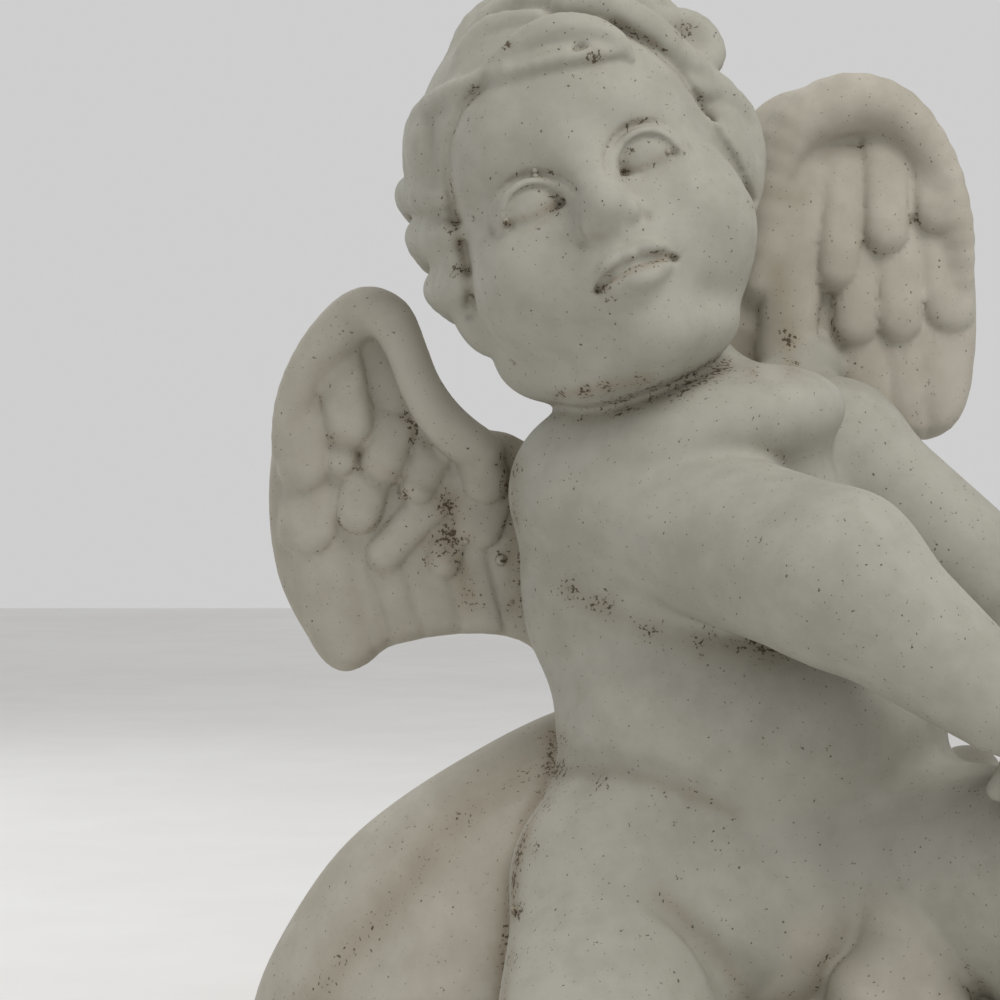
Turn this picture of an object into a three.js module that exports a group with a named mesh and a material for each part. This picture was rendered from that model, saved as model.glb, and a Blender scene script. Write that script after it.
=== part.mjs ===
import * as THREE from "three";

// Winged infant of cast stone, seated on a rock hung with cloth, on a low oval base.
// Millimetres, +Z up. The figure faces -Y, and +X is its left hand's side.

const base = { centreY: -3, halfWidth: 122, halfDepth: 91, height: 16, round: 4 };
const centring = [1.65, 3.05];
const mesh = { step: 2.5, block: 4, triangles: 9200, low: [-132, -102, -6.25], high: [132, 94, 346] };

// The head leans to the figure's right shoulder and looks a little upward.
const head = { centre: [-40.5, -8, 285], pitch: -6, roll: -22.5, reach: 74 };

const joints = {
  shoulderR: [-35.5, -6, 209.5], elbowR: [16, -58, 190], wristR: [50, -72, 163],
  shoulderL: [25, 16, 219], elbowL: [70, 0, 178], wristL: [74, -52, 160],
  hipR: [-21, -2, 116], kneeR: [-40, -58, 78], ankleR: [-37, -60, 26], heelR: [-37, -58, 22],
  hipL: [30, -2, 112], kneeL: [68, -52, 122], ankleL: [76, -50, 68], heelL: [76, -48, 64],
};

// Cloth over the seat: a rounded mound. Radius against height, then folds as
// [azimuth at the hem, azimuth at the waist, width in degrees, height].
const mound = { axis: [-20, 20], front: 0.52, back: 0.64, right: 0.92, top: 157 };
const moundProfile = [[0, 90], [18, 97], [40, 101], [62, 102], [82, 99], [100, 91], [117, 80], [130, 66],
  [143, 46], [152, 28], [158, 8]];
const folds = [[-90, -70, 13, 3.5], [-67, -60, 8, 2.5], [-60, -42, 9, -5], [-38, -28, 7, 3.5], [-22, -26, 5, -3],
  [-112, -96, 9, -4], [-128, -118, 11, 4], [-146, -138, 9, -4.5], [-162, -158, 11, 4], [178, 180, 9, -4.5],
  [160, 162, 12, 4.5], [140, 140, 9, -4.5], [122, 118, 11, 4], [104, 100, 8, -4], [88, 84, 9, 3.5],
  [70, 62, 8, -3.5], [52, 44, 8, 3]];

// Vectors
const add = (a, b, k = 1) => [a[0] + b[0] * k, a[1] + b[1] * k, a[2] + b[2] * k];
const dot = (a, b) => a[0] * b[0] + a[1] * b[1] + a[2] * b[2];
const length = (a) => Math.sqrt(dot(a, a));
const unit = (a) => a.map((c) => c / length(a));
const cross = (a, b) => [a[1] * b[2] - a[2] * b[1], a[2] * b[0] - a[0] * b[2], a[0] * b[1] - a[1] * b[0]];
const clamp = (t, lo = 0, hi = 1) => Math.min(Math.max(t, lo), hi);
const radians = (a) => (a * Math.PI) / 180;

// Axes of a frame turned about X, then Z, then Y, in degrees.
function turned(x, y, z) {
  const m = new THREE.Matrix4().makeRotationY(radians(y));
  m.multiply(new THREE.Matrix4().makeRotationZ(radians(z)));
  m.multiply(new THREE.Matrix4().makeRotationX(radians(x)));
  const axes = [new THREE.Vector3(), new THREE.Vector3(), new THREE.Vector3()];
  m.extractBasis(...axes);
  return axes.map((a) => a.toArray());
}

function inFrame(p, centre, axes) {
  const q = add(p, centre, -1);
  return [dot(q, axes[0]), dot(q, axes[1]), dot(q, axes[2])];
}

// Solids as signed distances, negative inside
function blend(a, b, k) {
  const h = clamp(0.5 + (0.5 * (b - a)) / k);
  return b + (a - b) * h - k * h * (1 - h);
}

const carve = (a, b, k) => -blend(-a, b, k);

const ball = (p, c, r) => Math.hypot(p[0] - c[0], p[1] - c[1], p[2] - c[2]) - r;

function egg(p, c, r, axes) {
  const q = axes ? inFrame(p, c, axes) : add(p, c, -1);
  const a = Math.hypot(q[0] / r[0], q[1] / r[1], q[2] / r[2]);
  const b = Math.hypot(q[0] / (r[0] * r[0]), q[1] / (r[1] * r[1]), q[2] / (r[2] * r[2]));
  return (a * (a - 1)) / Math.max(b, 1e-6);
}

function limb(p, a, b, ra, rb) {
  const x = b[0] - a[0];
  const y = b[1] - a[1];
  const z = b[2] - a[2];
  const px = p[0] - a[0];
  const py = p[1] - a[1];
  const pz = p[2] - a[2];
  const t = clamp((px * x + py * y + pz * z) / Math.max(x * x + y * y + z * z, 1e-9));
  return Math.hypot(px - t * x, py - t * y, pz - t * z) - (ra + (rb - ra) * t);
}

// A run of limbs through [x, y, z, radius] stations.
function chain(p, stations, k = 0) {
  let d = limb(p, stations[0], stations[1], stations[0][3], stations[1][3]);
  for (let i = 1; i < stations.length - 1; i++) {
    const e = limb(p, stations[i], stations[i + 1], stations[i][3], stations[i + 1][3]);
    d = k ? blend(d, e, k) : Math.min(d, e);
  }
  return d;
}

function block(p, c, half, r) {
  const q = [0, 1, 2].map((i) => Math.abs(p[i] - c[i]) - half[i] + r);
  return Math.hypot(...q.map((t) => Math.max(t, 0))) + Math.min(Math.max(...q), 0) - r;
}

// shape(p) near c, and a safe large distance elsewhere
function near(p, c, reach, shape) {
  const away = ball(p, c, reach);
  return away < 0 ? shape(p) : away + 14;
}

// Catmull-Rom through stations of any width
function between(p0, p1, p2, p3, t) {
  return p1.map((c, i) => 0.5 * (2 * c + (p2[i] - p0[i]) * t
    + (2 * p0[i] - 5 * c + 4 * p2[i] - p3[i]) * t * t
    + (3 * c - p0[i] - 3 * p2[i] + p3[i]) * t * t * t));
}

function smoothLine(stations, steps) {
  const n = stations.length;
  const first = stations[0].map((c, i) => 2 * c - stations[1][i]);
  const last = stations[n - 1].map((c, i) => 2 * c - stations[n - 2][i]);
  const all = [first, ...stations, last];
  const out = [];
  for (let i = 1; i < all.length - 2; i++) {
    for (let s = 0; s < steps; s++) {
      out.push(between(all[i - 1], all[i], all[i + 1], all[i + 2], s / steps));
    }
  }
  return [...out, stations[n - 1]];
}

function smoothLoop(points, steps) {
  const n = points.length;
  const out = [];
  for (let i = 0; i < n; i++) {
    for (let s = 0; s < steps; s++) {
      out.push(between(points[(i + n - 1) % n], points[i], points[(i + 1) % n], points[(i + 2) % n], s / steps));
    }
  }
  return out;
}

// A strand of hair with its bounding ball, so that far points skip it
function strand(stations, steps) {
  const line = smoothLine(stations, steps);
  const mid = [0, 1, 2].map((i) => {
    const side = line.map((s) => s[i]);
    return (Math.min(...side) + Math.max(...side)) / 2;
  });
  const reach = Math.max(...line.map((s) => length(add(s, mid, -1)) + s[3])) + 15;
  return { line, mid, reach };
}

// Head, in its own frame: +Z to the crown, -Y out of the face
const eye = {
  at: [14.9, -30.4, -7.6], ball: [10.2, 8.3, 8.8], lid: 10.3, shift: [1.1, 0, -0.9],
  half: 7, low: -10.9, rise: 7.2, sag: 0.9,
};

const locks = [
  // a curl shaped like a C, then two bands stacked down the cheek
  [[-14, -32.5, 24.5, 2.2], [-21, -27, 25.5, 3.8], [-28, -15, 26, 4.8], [-32.5, -7, 20.5, 5.2],
    [-34.5, -8, 13, 5], [-33, -15, 8.5, 4], [-30.5, -21, 6.5, 2.6]],
  [[-15, -31.5, 24.5, 2.2], [-21, -28.5, 21, 2.4], [-26, -26, 15.5, 2], [-29.5, -23, 9.5, 2.2]],
  [[-31, -21, 5, 2.6], [-35.5, -11, 9.5, 4.6], [-38, 6, 15, 5.2], [-38, 18, 14, 4.6]],
  [[-31.5, -20.5, -4, 3], [-36, -11, -1, 5], [-39.5, 6, 4, 5.4], [-39, 18, 1, 4.8]],
  [[-33.5, -17.5, -15.5, 2.8], [-37.5, -9, -13.5, 5], [-40, 6, -10, 5.6], [-38, 18, -13, 5]],
  // crown beside the forelock
  [[-19, -12, 31, 4], [-14, -5, 38.5, 5], [-7.5, -1, 45.5, 5.2], [3, 0, 49.5, 4.5]],
  [[-17, -24, 28, 3], [-13.5, -20, 34, 4.6], [-6, -21, 38, 4.2], [4, -27, 34.5, 3]],
  [[-12, -13, 37, 3.4], [-5, -12, 43, 4.2], [5, -16, 42.5, 4.2], [12, -25, 36.5, 3]],
  // the forelock, and the strand under it along the hairline
  [[-15, -31.5, 24.5, 1.8], [-8, -35, 26.6, 3.2], [0, -37, 27.6, 4.2], [7, -37.2, 27, 4.6], [13.5, -36.6, 24, 4.2],
    [17.6, -37, 20, 3], [19.5, -36.5, 15.5, 1.3]],
  [[-17, -31.5, 24.8, 2.2], [-8, -37.4, 23, 2.9], [2, -40.2, 21.4, 3], [10, -40.2, 19.6, 2.6],
    [16, -38.6, 17.8, 1.5]],
  // down the other temple
  [[12, -27, 35, 4], [20, -27, 31, 4.6], [28, -24, 22, 4.6], [33.5, -18, 13, 4], [40, -9, 7.5, 2.8]],
  [[6, -18, 42, 4], [17, -18, 39.5, 5], [27, -13, 34, 5], [33, -8, 28, 3.4]],
  // round curl
  [[30, -11, 26, 3.2], [36, -8, 26.5, 4], [41, -5, 23, 4.2], [41.5, -5, 17, 4.2], [37.5, -9, 14, 3.6],
    [34.5, -12, 17, 2.8]],
  // curl like an ear, with a thin strand inside it
  [[31, -20, 8, 2.8], [38, -11, 6, 4], [42, -4, 0.5, 4.4], [41.5, -2.5, -7.5, 4.4], [39, -3.5, -15, 3.6],
    [35.5, -6.5, -22, 2.4]],
  [[30.3, -21.5, 4.5, 2], [33, -17, -4, 2.8], [34.8, -13, -13, 2.7], [34.4, -11, -21, 1.6]],
].map((stations) => strand(stations, 2));

function scalp(q) {
  return blend(egg(q, [0, 9, 4], [37.5, 42, 38]), egg(q, [10, 8, 27], [27.5, 35, 26.5]), 6);
}

// The point over the scalp, lifted off it, in one direction from inside the head
const scalpCentre = [3, 9, 12];

function onScalp(azimuth, elevation, lift) {
  const flat = Math.cos(elevation);
  const way = [Math.sin(azimuth) * flat, -Math.cos(azimuth) * flat, Math.sin(elevation)];
  let inner = 0;
  let outer = 70;
  for (let i = 0; i < 24; i++) {
    const r = (inner + outer) / 2;
    if (scalp(add(scalpCentre, way, r)) < 0) {
      inner = r;
    } else {
      outer = r;
    }
  }
  return add(scalpCentre, way, inner + lift);
}

// Waves falling from the crown over the sides and the back
const waves = { count: 13, from: 74, sweep: 212, rows: 8, top: 80, drop: 17, lift: -1.6, radius: 4.2 };

function wave(i) {
  const az = radians(waves.from + (waves.sweep * i) / (waves.count - 1));
  const stations = [];
  for (let j = 0; j < waves.rows; j++) {
    const el = radians(waves.top - waves.drop * j);
    const a = az + 0.17 * Math.sin(2.1 * j + 1.7 * i) * (0.4 + Math.cos(el) * 0.6);
    const beat = 2.6 * j + 2.2 * i;
    const at = onScalp(a, el, waves.lift + 0.8 * Math.cos(beat));
    stations.push([...at, waves.radius + 0.9 * Math.sin(beat + 0.8)]);
  }
  return strand(stations, 2);
}

const fallingHair = Array.from({ length: waves.count }, (_, i) => wave(i));

// Eye outline with its corners at (-half, 0) and (half, 0)
function lens(x, z, half, rise, sag) {
  const up = (half * half + rise * rise) / (2 * rise);
  const down = (half * half + sag * sag) / (2 * sag);
  return Math.max(Math.hypot(x, z - rise + up) - up, Math.hypot(x, z - down + sag) - down);
}

function eyes(d, m) {
  const x = m[0] - eye.at[0];
  const z = m[2] - eye.low;
  const front = m[1] - eye.at[1];
  // raised upper lid, the opening under it, the ball in the opening
  const rim = lens(x, z, eye.half + 2.3, eye.rise + 2.1, eye.sag + 0.4);
  const lid = Math.max(ball(m, eye.at, eye.lid), rim, front);
  d = blend(d, carve(lid, z + 0.6, 1.5), 1.4);
  const opening = lens(x, z, eye.half, eye.rise, eye.sag);
  d = carve(d, Math.max(opening, front, ball(m, eye.at, 12.5)), 1.3);
  return blend(d, egg(m, eye.at, eye.ball), 0.5);
}

function face(q) {
  const m = [Math.abs(q[0]), q[1], q[2]];
  const n = [Math.abs(q[0] - 0.8), q[1], q[2]];
  let d = egg(q, [0, 8, 8], [37.5, 42, 41]);
  d = blend(d, egg(q, [0, -11, 9], [33, 31.5, 27]), 12);
  d = blend(d, egg(q, [-0.5, -8, -21], [34, 32, 32.5]), 10);
  // cheeks, chin and the roll under it
  d = blend(d, ball(m, [17, -21.5, -22.5], 16.8), 9);
  d = blend(d, ball(q, [0.5, -31, -43.5], 9.3), 8);
  d = blend(d, egg(q, [-2, -14, -47], [23, 20, 9]), 6);
  d = blend(d, egg(q, [-12, 4, -34], [24, 22, 16]), 8);
  d = blend(d, egg(q, [0.5, -31.5, -28.5], [14, 12, 11]), 8);
  // sockets, then a broad low bridge and a short round tip
  d = carve(d, egg(m, [14.8, -46, -5], [10, 7.2, 7.5]), 7);
  const nose = limb(q, [0, -33.8, -1], [0, -42.6, -14], 6.6, 5.2);
  d = blend(d, blend(nose, ball(q, [0, -45.4, -15.6], 4.9), 3), 6);
  d = blend(d, limb(q, [0, -44.5, -17], [0.2, -40.5, -22.5], 2.4, 2.2), 2);
  d = blend(d, egg(m, [5, -41.4, -18.9], [3, 4.2, 3.2]), 1.6);
  d = eyes(d, q[0] > 0 ? add(m, eye.shift) : m);
  // lips
  const upper = egg(n, [3.9, -41.8, -28.5], [5, 3.9, 2.3], turned(0, 16, -14));
  d = blend(d, blend(upper, egg(n, [0, -42.4, -28.6], [2.4, 3.5, 1.8]), 1.4), 1.1);
  const under = egg(n, [4.2, -40.6, -34.1], [4.4, 4, 2.7], turned(0, -10, -14));
  d = blend(d, blend(egg(n, [0, -41.9, -34.6], [5.4, 4.6, 3.5]), under, 1.5), 1.2);
  const gap = [[0, -46.6, -31.1, 1], [4.5, -45.2, -31.2, 1.1], [8.3, -42, -32.2, 1.1], [9.6, -39.8, -32.8, 0.8]];
  d = carve(d, chain(n, gap), 0.8);
  return carve(d, egg(q, [0.6, -43.8, -40.2], [7, 2.6, 1.6]), 3);
}

function hair(q) {
  let d = scalp(q);
  d = blend(d, egg(q, [-33, 2, -5], [8.5, 20, 20]), 6);
  d = blend(d, egg(q, [-33, 0, -21], [8, 12, 11]), 5);
  d = blend(d, egg(q, [-29, -12, 16], [8.5, 13, 13]), 4);
  d = blend(d, egg(q, [35.5, -4, -5], [7, 12, 17]), 5);
  d = blend(d, egg(q, [36.5, -2, 20], [8, 8, 9]), 4);
  // open round the face
  d = carve(d, egg(q, [0.5, -42, -10], [30, 34, 36]), 3);
  for (const s of locks) {
    d = blend(d, near(q, s.mid, s.reach, (t) => chain(t, s.line, 0.4)), 2);
  }
  for (const s of fallingHair) {
    d = blend(d, near(q, s.mid, s.reach, (t) => chain(t, s.line, 0.4)), 1.8);
  }
  // hollows: in the round curl, in the curl like a C, under the forelock's crest
  d = carve(d, ball(q, [37.2, -14, 20.5], 2), 2);
  d = carve(d, limb(q, [-27, -26.2, 22], [-31.5, -22.5, 11], 3.2, 3.6), 2.5);
  const underCrest = [[-6, -41.5, 24.6, 1], [3, -43.5, 24.2, 2.2], [11, -43.6, 22.4, 2.4], [15.5, -42, 20.4, 1]];
  return carve(d, chain(q, underCrest), 2.4);
}

const headAxes = turned(head.pitch, head.roll, 0);

function headShape(p) {
  const q = inFrame(p, head.centre, headAxes);
  return blend(face(q), hair(q), 0.8);
}

// Torso
const chestAxes = turned(0, -12, 14);
const rollAxes = turned(0, -14, 0);

function torso(p) {
  let d = egg(p, [-13, 2, 200], [42.5, 28, 31], chestAxes);
  d = blend(d, egg(p, [-5, 2, 178], [48, 30, 32]), 12);
  d = blend(d, egg(p, [2, -8, 150], [48, 36, 34]), 12);
  d = blend(d, egg(p, [8, 4, 122], [53, 36, 28]), 12);
  // neck, far shoulder, breast
  d = blend(d, limb(p, [-12, 2, 222], [-30, -4, 246], 22, 22), 8);
  d = blend(d, limb(p, [-10, 4, 224], joints.shoulderL, 17, 18), 8);
  d = blend(d, ball(p, [6, -12, 208], 16), 8);
  d = blend(d, ball(p, [-24, -16, 200], 18), 8);
  // roll of flesh that the jaw rests on
  d = blend(d, egg(p, [-11, -14, 223], [36, 27, 16], rollAxes), 8);
  // root of the far wing
  d = blend(d, limb(p, [2, 12, 220], [20, 28, 242], 14, 9), 5);
  d = blend(d, ball(p, [-16, 22, 116], 26), 6);
  d = blend(d, ball(p, [34, 24, 116], 26), 6);
  return d;
}

// A closed hand: palm, four curled fingers and a thumb
function makeHand(wrist, along, back, side) {
  const d = unit(along);
  const n = unit(add(back, d, -dot(back, d)));
  const s = cross(d, n).map((c) => c * side);
  const at = (from, a, b, c, k = 1) => add(add(add(from, d, a * k), s, b * k), n, c * k);
  const fingers = [];
  for (let i = 0; i < 4; i++) {
    const spread = -0.12 + 0.08 * i;
    const knuckle = at(wrist, 19, -7.2 + 4.8 * i, 0);
    const middle = at(knuckle, 0.92, spread, -0.35, 8.5);
    const tip = at(middle, 0.45, spread, -0.85, 7.5 - Math.abs(i - 1.4));
    fingers.push([[...knuckle, 3.6], [...middle, 3.3], [...tip, 2.8]]);
  }
  const heel = at(wrist, 5, -8.5, 0);
  const joint = at(heel, 0.6, -0.75, -0.2, 8);
  const thumb = [[...heel, 4.2], [...joint, 3.7], [...at(joint, 0.85, -0.2, -0.4, 7), 3]];
  return { centre: at(wrist, 15, 0, 0), palm: at(wrist, 11, 0, 0), axes: [s, d, n], fingers, thumb };
}

const handR = makeHand(joints.wristR, [0.62, -0.3, -0.55], [0.1, -0.8, 0.6], 1);
const handL = makeHand(joints.wristL, [-0.45, -0.72, -0.5], [0.3, -0.5, 0.8], -1);

function hand(p, h) {
  return near(p, h.centre, 42, (q) => {
    let d = egg(q, h.palm, [9.5, 13, 6.5], h.axes);
    for (const finger of h.fingers) {
      d = blend(d, chain(q, finger, 0.5), 1.2);
    }
    return blend(d, chain(q, h.thumb, 0.5), 1.8);
  });
}

function armR(p) {
  const { shoulderR: s, elbowR: e, wristR: w } = joints;
  let d = blend(ball(p, s, 22.3), limb(p, add(s, [4, -4, -2]), e, 20.5, 20), 8);
  d = blend(d, limb(p, e, w, 19, 11.5), 5);
  return blend(d, hand(p, handR), 3);
}

function armL(p) {
  const { shoulderL: s, elbowL: e, wristL: w } = joints;
  let d = blend(ball(p, s, 19), limb(p, s, e, 18, 16.5), 6);
  d = blend(d, limb(p, e, w, 16, 11), 5);
  return blend(d, hand(p, handL), 3);
}

function foot(p, heel, along) {
  const d = unit(along);
  const s = cross(d, [0, 0, 1]);
  const at = (a, b, c) => add(add(add(heel, d, a), s, b), [0, 0, c]);
  return near(p, at(14, 0, 0), 48, (q) => {
    let f = blend(ball(q, at(0, 0, -1), 11), limb(q, at(0, 0, -1), at(22, 0, -4), 10.5, 8.5), 4);
    [4.4, 3.6, 3.4, 3.2, 3].forEach((r, i) => {
      f = blend(f, limb(q, at(20, -6 + 3.2 * i, -6), at(31 - 1.6 * i, -9 + 4.6 * i, -8), r, r), 1.5);
    });
    return f;
  });
}

function legR(p) {
  const { hipR, kneeR, ankleR, heelR } = joints;
  let d = limb(p, hipR, kneeR, 34, 23);
  d = blend(d, ball(p, add(kneeR, [0, -5, -2]), 21), 6);
  d = blend(d, limb(p, add(kneeR, [1, -2, -6]), ankleR, 19.5, 12.5), 5);
  d = blend(d, ball(p, [-38, -54, 54], 17), 8);
  d = blend(d, foot(p, heelR, [-0.12, -1, -0.05]), 4);
  // top of the thigh under the belly
  return blend(d, egg(p, [-27, -19, 117], [30, 23, 25]), 6);
}

function legL(p) {
  const { hipL, kneeL, ankleL, heelL } = joints;
  let d = limb(p, hipL, kneeL, 34, 23);
  d = blend(d, limb(p, add(kneeL, [1, -2, -4]), ankleL, 19, 12), 5);
  d = blend(d, ball(p, [72, -46, 98], 16), 8);
  return blend(d, foot(p, heelL, [0.05, -1, -0.08]), 4);
}

// Soft folds of flesh, as stations with a radius
const fleshFolds = [
  [[-48, -9, 143, 1.4], [-44, -20, 144, 2], [-36, -31, 143, 2.8], [-24, -40, 140.5, 3.1], [-10, -44.5, 135.5, 3.1],
    [1, -47, 128, 2.8], [8, -48.5, 119, 2], [11, -49, 110, 1]],
  [[-25, -46, 117, 1], [-16, -48, 109, 2.6], [-10, -49, 102, 3.6], [-5, -49, 96, 4.2], [-2, -48, 91, 4.3],
    [0, -46, 82, 3.6]],
].map((stations) => strand(stations, 3));

function folded(d, p) {
  for (const s of fleshFolds) {
    d = carve(d, near(p, s.mid, s.reach, (t) => chain(t, s.line)), 5);
  }
  return d;
}

// Cloth over the lap, hanging between the legs
function swag(p) {
  const [x, , z] = p;
  let band = chain(p, [[60, 8, 138, 8], [50, -24, 124, 10], [37, -40, 108, 12], [28, -47, 92, 12]], 6);
  band = (band - Math.sin((x * 0.7 + z * 0.7) / 3)) * 0.85;
  let hang = block(p, [16, -30, 52], [36, 28, 46], 16);
  hang = (hang - 2.4 * Math.sin(x / 5.2 + 0.7 * Math.sin(z / 20))) * 0.8;
  const top = (z - (84 + 0.55 * (x - 4))) * 0.87;
  return blend(band, carve(hang, -top, 8), 5);
}

const moundLine = smoothLine(moundProfile, 5);

function moundRadius(z) {
  const above = moundLine.findIndex(([height]) => height > z);
  if (above === 0) {
    return moundLine[0][1];
  }
  if (above < 0) {
    return moundLine[moundLine.length - 1][1];
  }
  const [z0, r0] = moundLine[above - 1];
  const [z1, r1] = moundLine[above];
  return r0 + ((r1 - r0) * (z - z0)) / (z1 - z0);
}

function cloth(p) {
  const z = p[2];
  let x = p[0] - mound.axis[0];
  let y = p[1] - mound.axis[1];
  x /= x > 0 ? mound.right : 1;
  y /= y > 0 ? mound.back : mound.front;
  const az = THREE.MathUtils.radToDeg(Math.atan2(x, -y));
  const h = clamp((mound.top - z) / 80);
  let fold = 0;
  for (const [hem, waist, wide, high] of folds) {
    const centre = waist + (hem - waist) * h + 2 * Math.sin(z / 17 + hem);
    const off = ((((az - centre + 180) % 360) + 360) % 360) - 180;
    fold += high * Math.exp(-((off / wide) ** 2));
  }
  let d = (Math.hypot(x, y) - moundRadius(z) - fold * h ** 0.7) * 0.75;
  d = Math.max(d, z - mound.top);
  // under the legs
  const ripple = 2 * Math.sin(p[0] / 9.5 + 0.8 * Math.sin(z / 22) + 0.6 * Math.sin(p[1] / 15));
  const seat = (egg(p, [16, -12, 52], [84, 52, 44]) - ripple) * 0.85;
  d = blend(d, seat, 10);
  d = blend(d, egg(p, [60, -18, 78], [24, 24, 24]), 8);
  return Math.max(d, 12 - z);
}

// The rock step under the raised foot
const ledge = { centre: [74, -46, 0], axes: turned(4, -3, 18) };

function rock(p) {
  const q = inFrame(p, ledge.centre, ledge.axes);
  let d = block(q, [0, 0, 20], [21, 20, 28], 9);
  d = blend(d, block(q, [-14, 8, 10], [24, 22, 18], 8), 5);
  d = blend(d, block(q, [6, 14, 14], [19, 20, 20], 8), 5);
  return Math.max(d, -p[2]);
}

function plinth(p) {
  const r = base.round;
  const side = (Math.hypot(p[0] / base.halfWidth, (p[1] - base.centreY) / base.halfDepth) - 1) * base.halfDepth + r;
  const top = p[2] - base.height + r;
  const d = Math.hypot(Math.max(side, 0), Math.max(top, 0)) - r + Math.min(Math.max(side, top), 0);
  return Math.max(d, -p[2]);
}

// Wings: a curved slab with a rounded edge, its face carried in overlapping feathers.
// Outlines, feathers and ridges are laid out on a sheet seen from the front:
// across and down from the sheet's corner, in units of the wing's scale.
const sheet = { across: 500, down: 500, x: -60, z: 207.5 };
const onSheet = (u, w, k) => [sheet.x + (u - sheet.across) * k, sheet.z - (w - sheet.down) * k];

function signedEdge(x, z, loop) {
  let d = Infinity;
  let inside = false;
  let [x0, z0] = loop[loop.length - 1];
  for (const [x1, z1] of loop) {
    const ex = x1 - x0;
    const ez = z1 - z0;
    const wx = x - x0;
    const wz = z - z0;
    const t = clamp((wx * ex + wz * ez) / (ex * ex + ez * ez));
    d = Math.min(d, (wx - ex * t) ** 2 + (wz - ez * t) ** 2);
    if (z0 > z !== z1 > z && x < x0 + (ex * (z - z0)) / ez) {
      inside = !inside;
    }
    x0 = x1;
    z0 = z1;
  }
  return inside ? -Math.sqrt(d) : Math.sqrt(d);
}

function featherHeight(x, z, f) {
  const u = ((x - f.root[0]) * f.along[0] + (z - f.root[1]) * f.along[1]) / f.length;
  if (u < -0.35 || u > 1) {
    return 0;
  }
  const s = ((z - f.root[1]) * f.along[0] - (x - f.root[0]) * f.along[1]) / f.wide;
  const cap = 1 - f.wide / f.length;
  const m = Math.hypot(s, Math.max((u - cap) / (1 - cap), 0));
  return m < 1 ? f.high * clamp(u + 0.35) ** 0.8 * Math.sqrt(1 - m ** 2.6) : 0;
}

function wingMid(w, x, z) {
  const out = clamp((w.side * (x - w.rootX)) / 60, 0, 1.2);
  return w.rootY + w.sweep * out * out + w.cup * ((z - w.centre[2]) / 50) ** 2;
}

function makeWing(w) {
  const loop = smoothLoop(w.outline.map(([u, t]) => onSheet(u, t, w.scale)), 2);
  const feathers = w.feathers.map(([u0, t0, u1, t1, wide, high]) => {
    const root = onSheet(u0, t0, w.scale);
    const tip = onSheet(u1, t1, w.scale);
    const long = Math.hypot(tip[0] - root[0], tip[1] - root[1]);
    const along = [(tip[0] - root[0]) / long, (tip[1] - root[1]) / long];
    return { root, along, length: long, wide: wide * w.scale, high };
  });
  const ridge = smoothLine(w.ridge.map(([u, t, r, lift]) => {
    const [x, z] = onSheet(u, t, w.scale);
    return [x, wingMid(w, x, z) - w.front - lift + r, z, r];
  }), 2);
  return { ...w, loop, feathers, ridge };
}

const nearWing = makeWing({
  scale: 0.259, side: -1, rootX: -55, rootY: 15, sweep: 9, cup: 3, front: 4, back: 5,
  centre: [-92, 18, 206], reach: 74,
  outline: [[530, 445], [505, 433], [475, 429], [450, 412], [433, 385], [420, 350], [407, 315], [392, 296],
    [370, 290], [347, 298], [325, 318], [303, 348], [286, 385], [274, 430], [268, 480], [269, 530], [277, 575],
    [290, 607], [308, 638], [326, 662], [346, 671], [368, 663], [388, 647], [420, 638], [455, 633], [495, 633],
    [530, 645], [560, 680], [600, 660], [600, 480]],
  feathers: [
    // flight feathers: root, tip, half width, height
    [318, 520, 350, 676, 33, 3.6], [352, 530, 378, 650, 14, 2.2], [376, 530, 412, 645, 19, 3],
    [412, 530, 448, 640, 22, 2.6], [460, 540, 486, 645, 22, 2],
    // lower row
    [318, 482, 302, 557, 32, 6.2], [368, 476, 355, 534, 25, 7.4], [436, 500, 373, 568, 20, 6.2],
    [450, 536, 441, 579, 19, 4.8],
    // middle row
    [318, 418, 299, 494, 28, 7.6], [342, 438, 344, 480, 18, 6.6], [392, 432, 380, 486, 24, 8.4],
    [430, 462, 413, 506, 20, 6.6], [476, 440, 492, 505, 24, 5.4], [486, 500, 470, 548, 26, 3.6],
    // top row
    [340, 372, 357, 452, 26, 9],
  ],
  ridge: [[484, 453, 5.2, 8], [460, 438, 5.6, 9], [438, 415, 5.4, 9.5], [420, 384, 5, 9.5], [407, 350, 5, 9.5],
    [391, 322, 5.8, 9.5], [366, 314, 6.2, 9], [340, 334, 6.4, 8.5], [314, 368, 6, 7.5], [295, 408, 5, 6],
    [286, 450, 3.6, 4]],
});

const farWing = makeWing({
  scale: 0.268, side: 1, rootX: 6, rootY: 30, sweep: 12, cup: 3, front: 4, back: 5,
  centre: [25, 34, 262], reach: 80,
  outline: [[722, 470], [708, 400], [705, 300], [720, 200], [742, 130], [768, 104], [800, 94], [845, 87], [890, 94],
    [925, 122], [950, 170], [968, 235], [975, 305], [972, 370], [955, 420], [925, 440], [890, 436], [850, 445],
    [810, 470]],
  feathers: [
    [930, 300, 948, 444, 32, 3.6], [892, 300, 908, 444, 22, 3], [852, 300, 868, 450, 24, 2.8],
    [935, 225, 946, 338, 30, 5.5], [890, 235, 890, 348, 26, 5.8], [850, 240, 846, 352, 24, 5.2],
    [925, 150, 932, 242, 27, 7.5], [880, 160, 874, 264, 26, 7.5], [838, 190, 824, 300, 24, 6.5],
    [792, 200, 775, 384, 30, 6],
  ],
  ridge: [[752, 290, 5, 5], [762, 195, 5.5, 6], [788, 138, 7, 8], [838, 113, 8, 9.5], [888, 122, 7, 9.5],
    [926, 168, 6, 9], [946, 225, 5, 8], [954, 280, 3.6, 6]],
});

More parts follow.
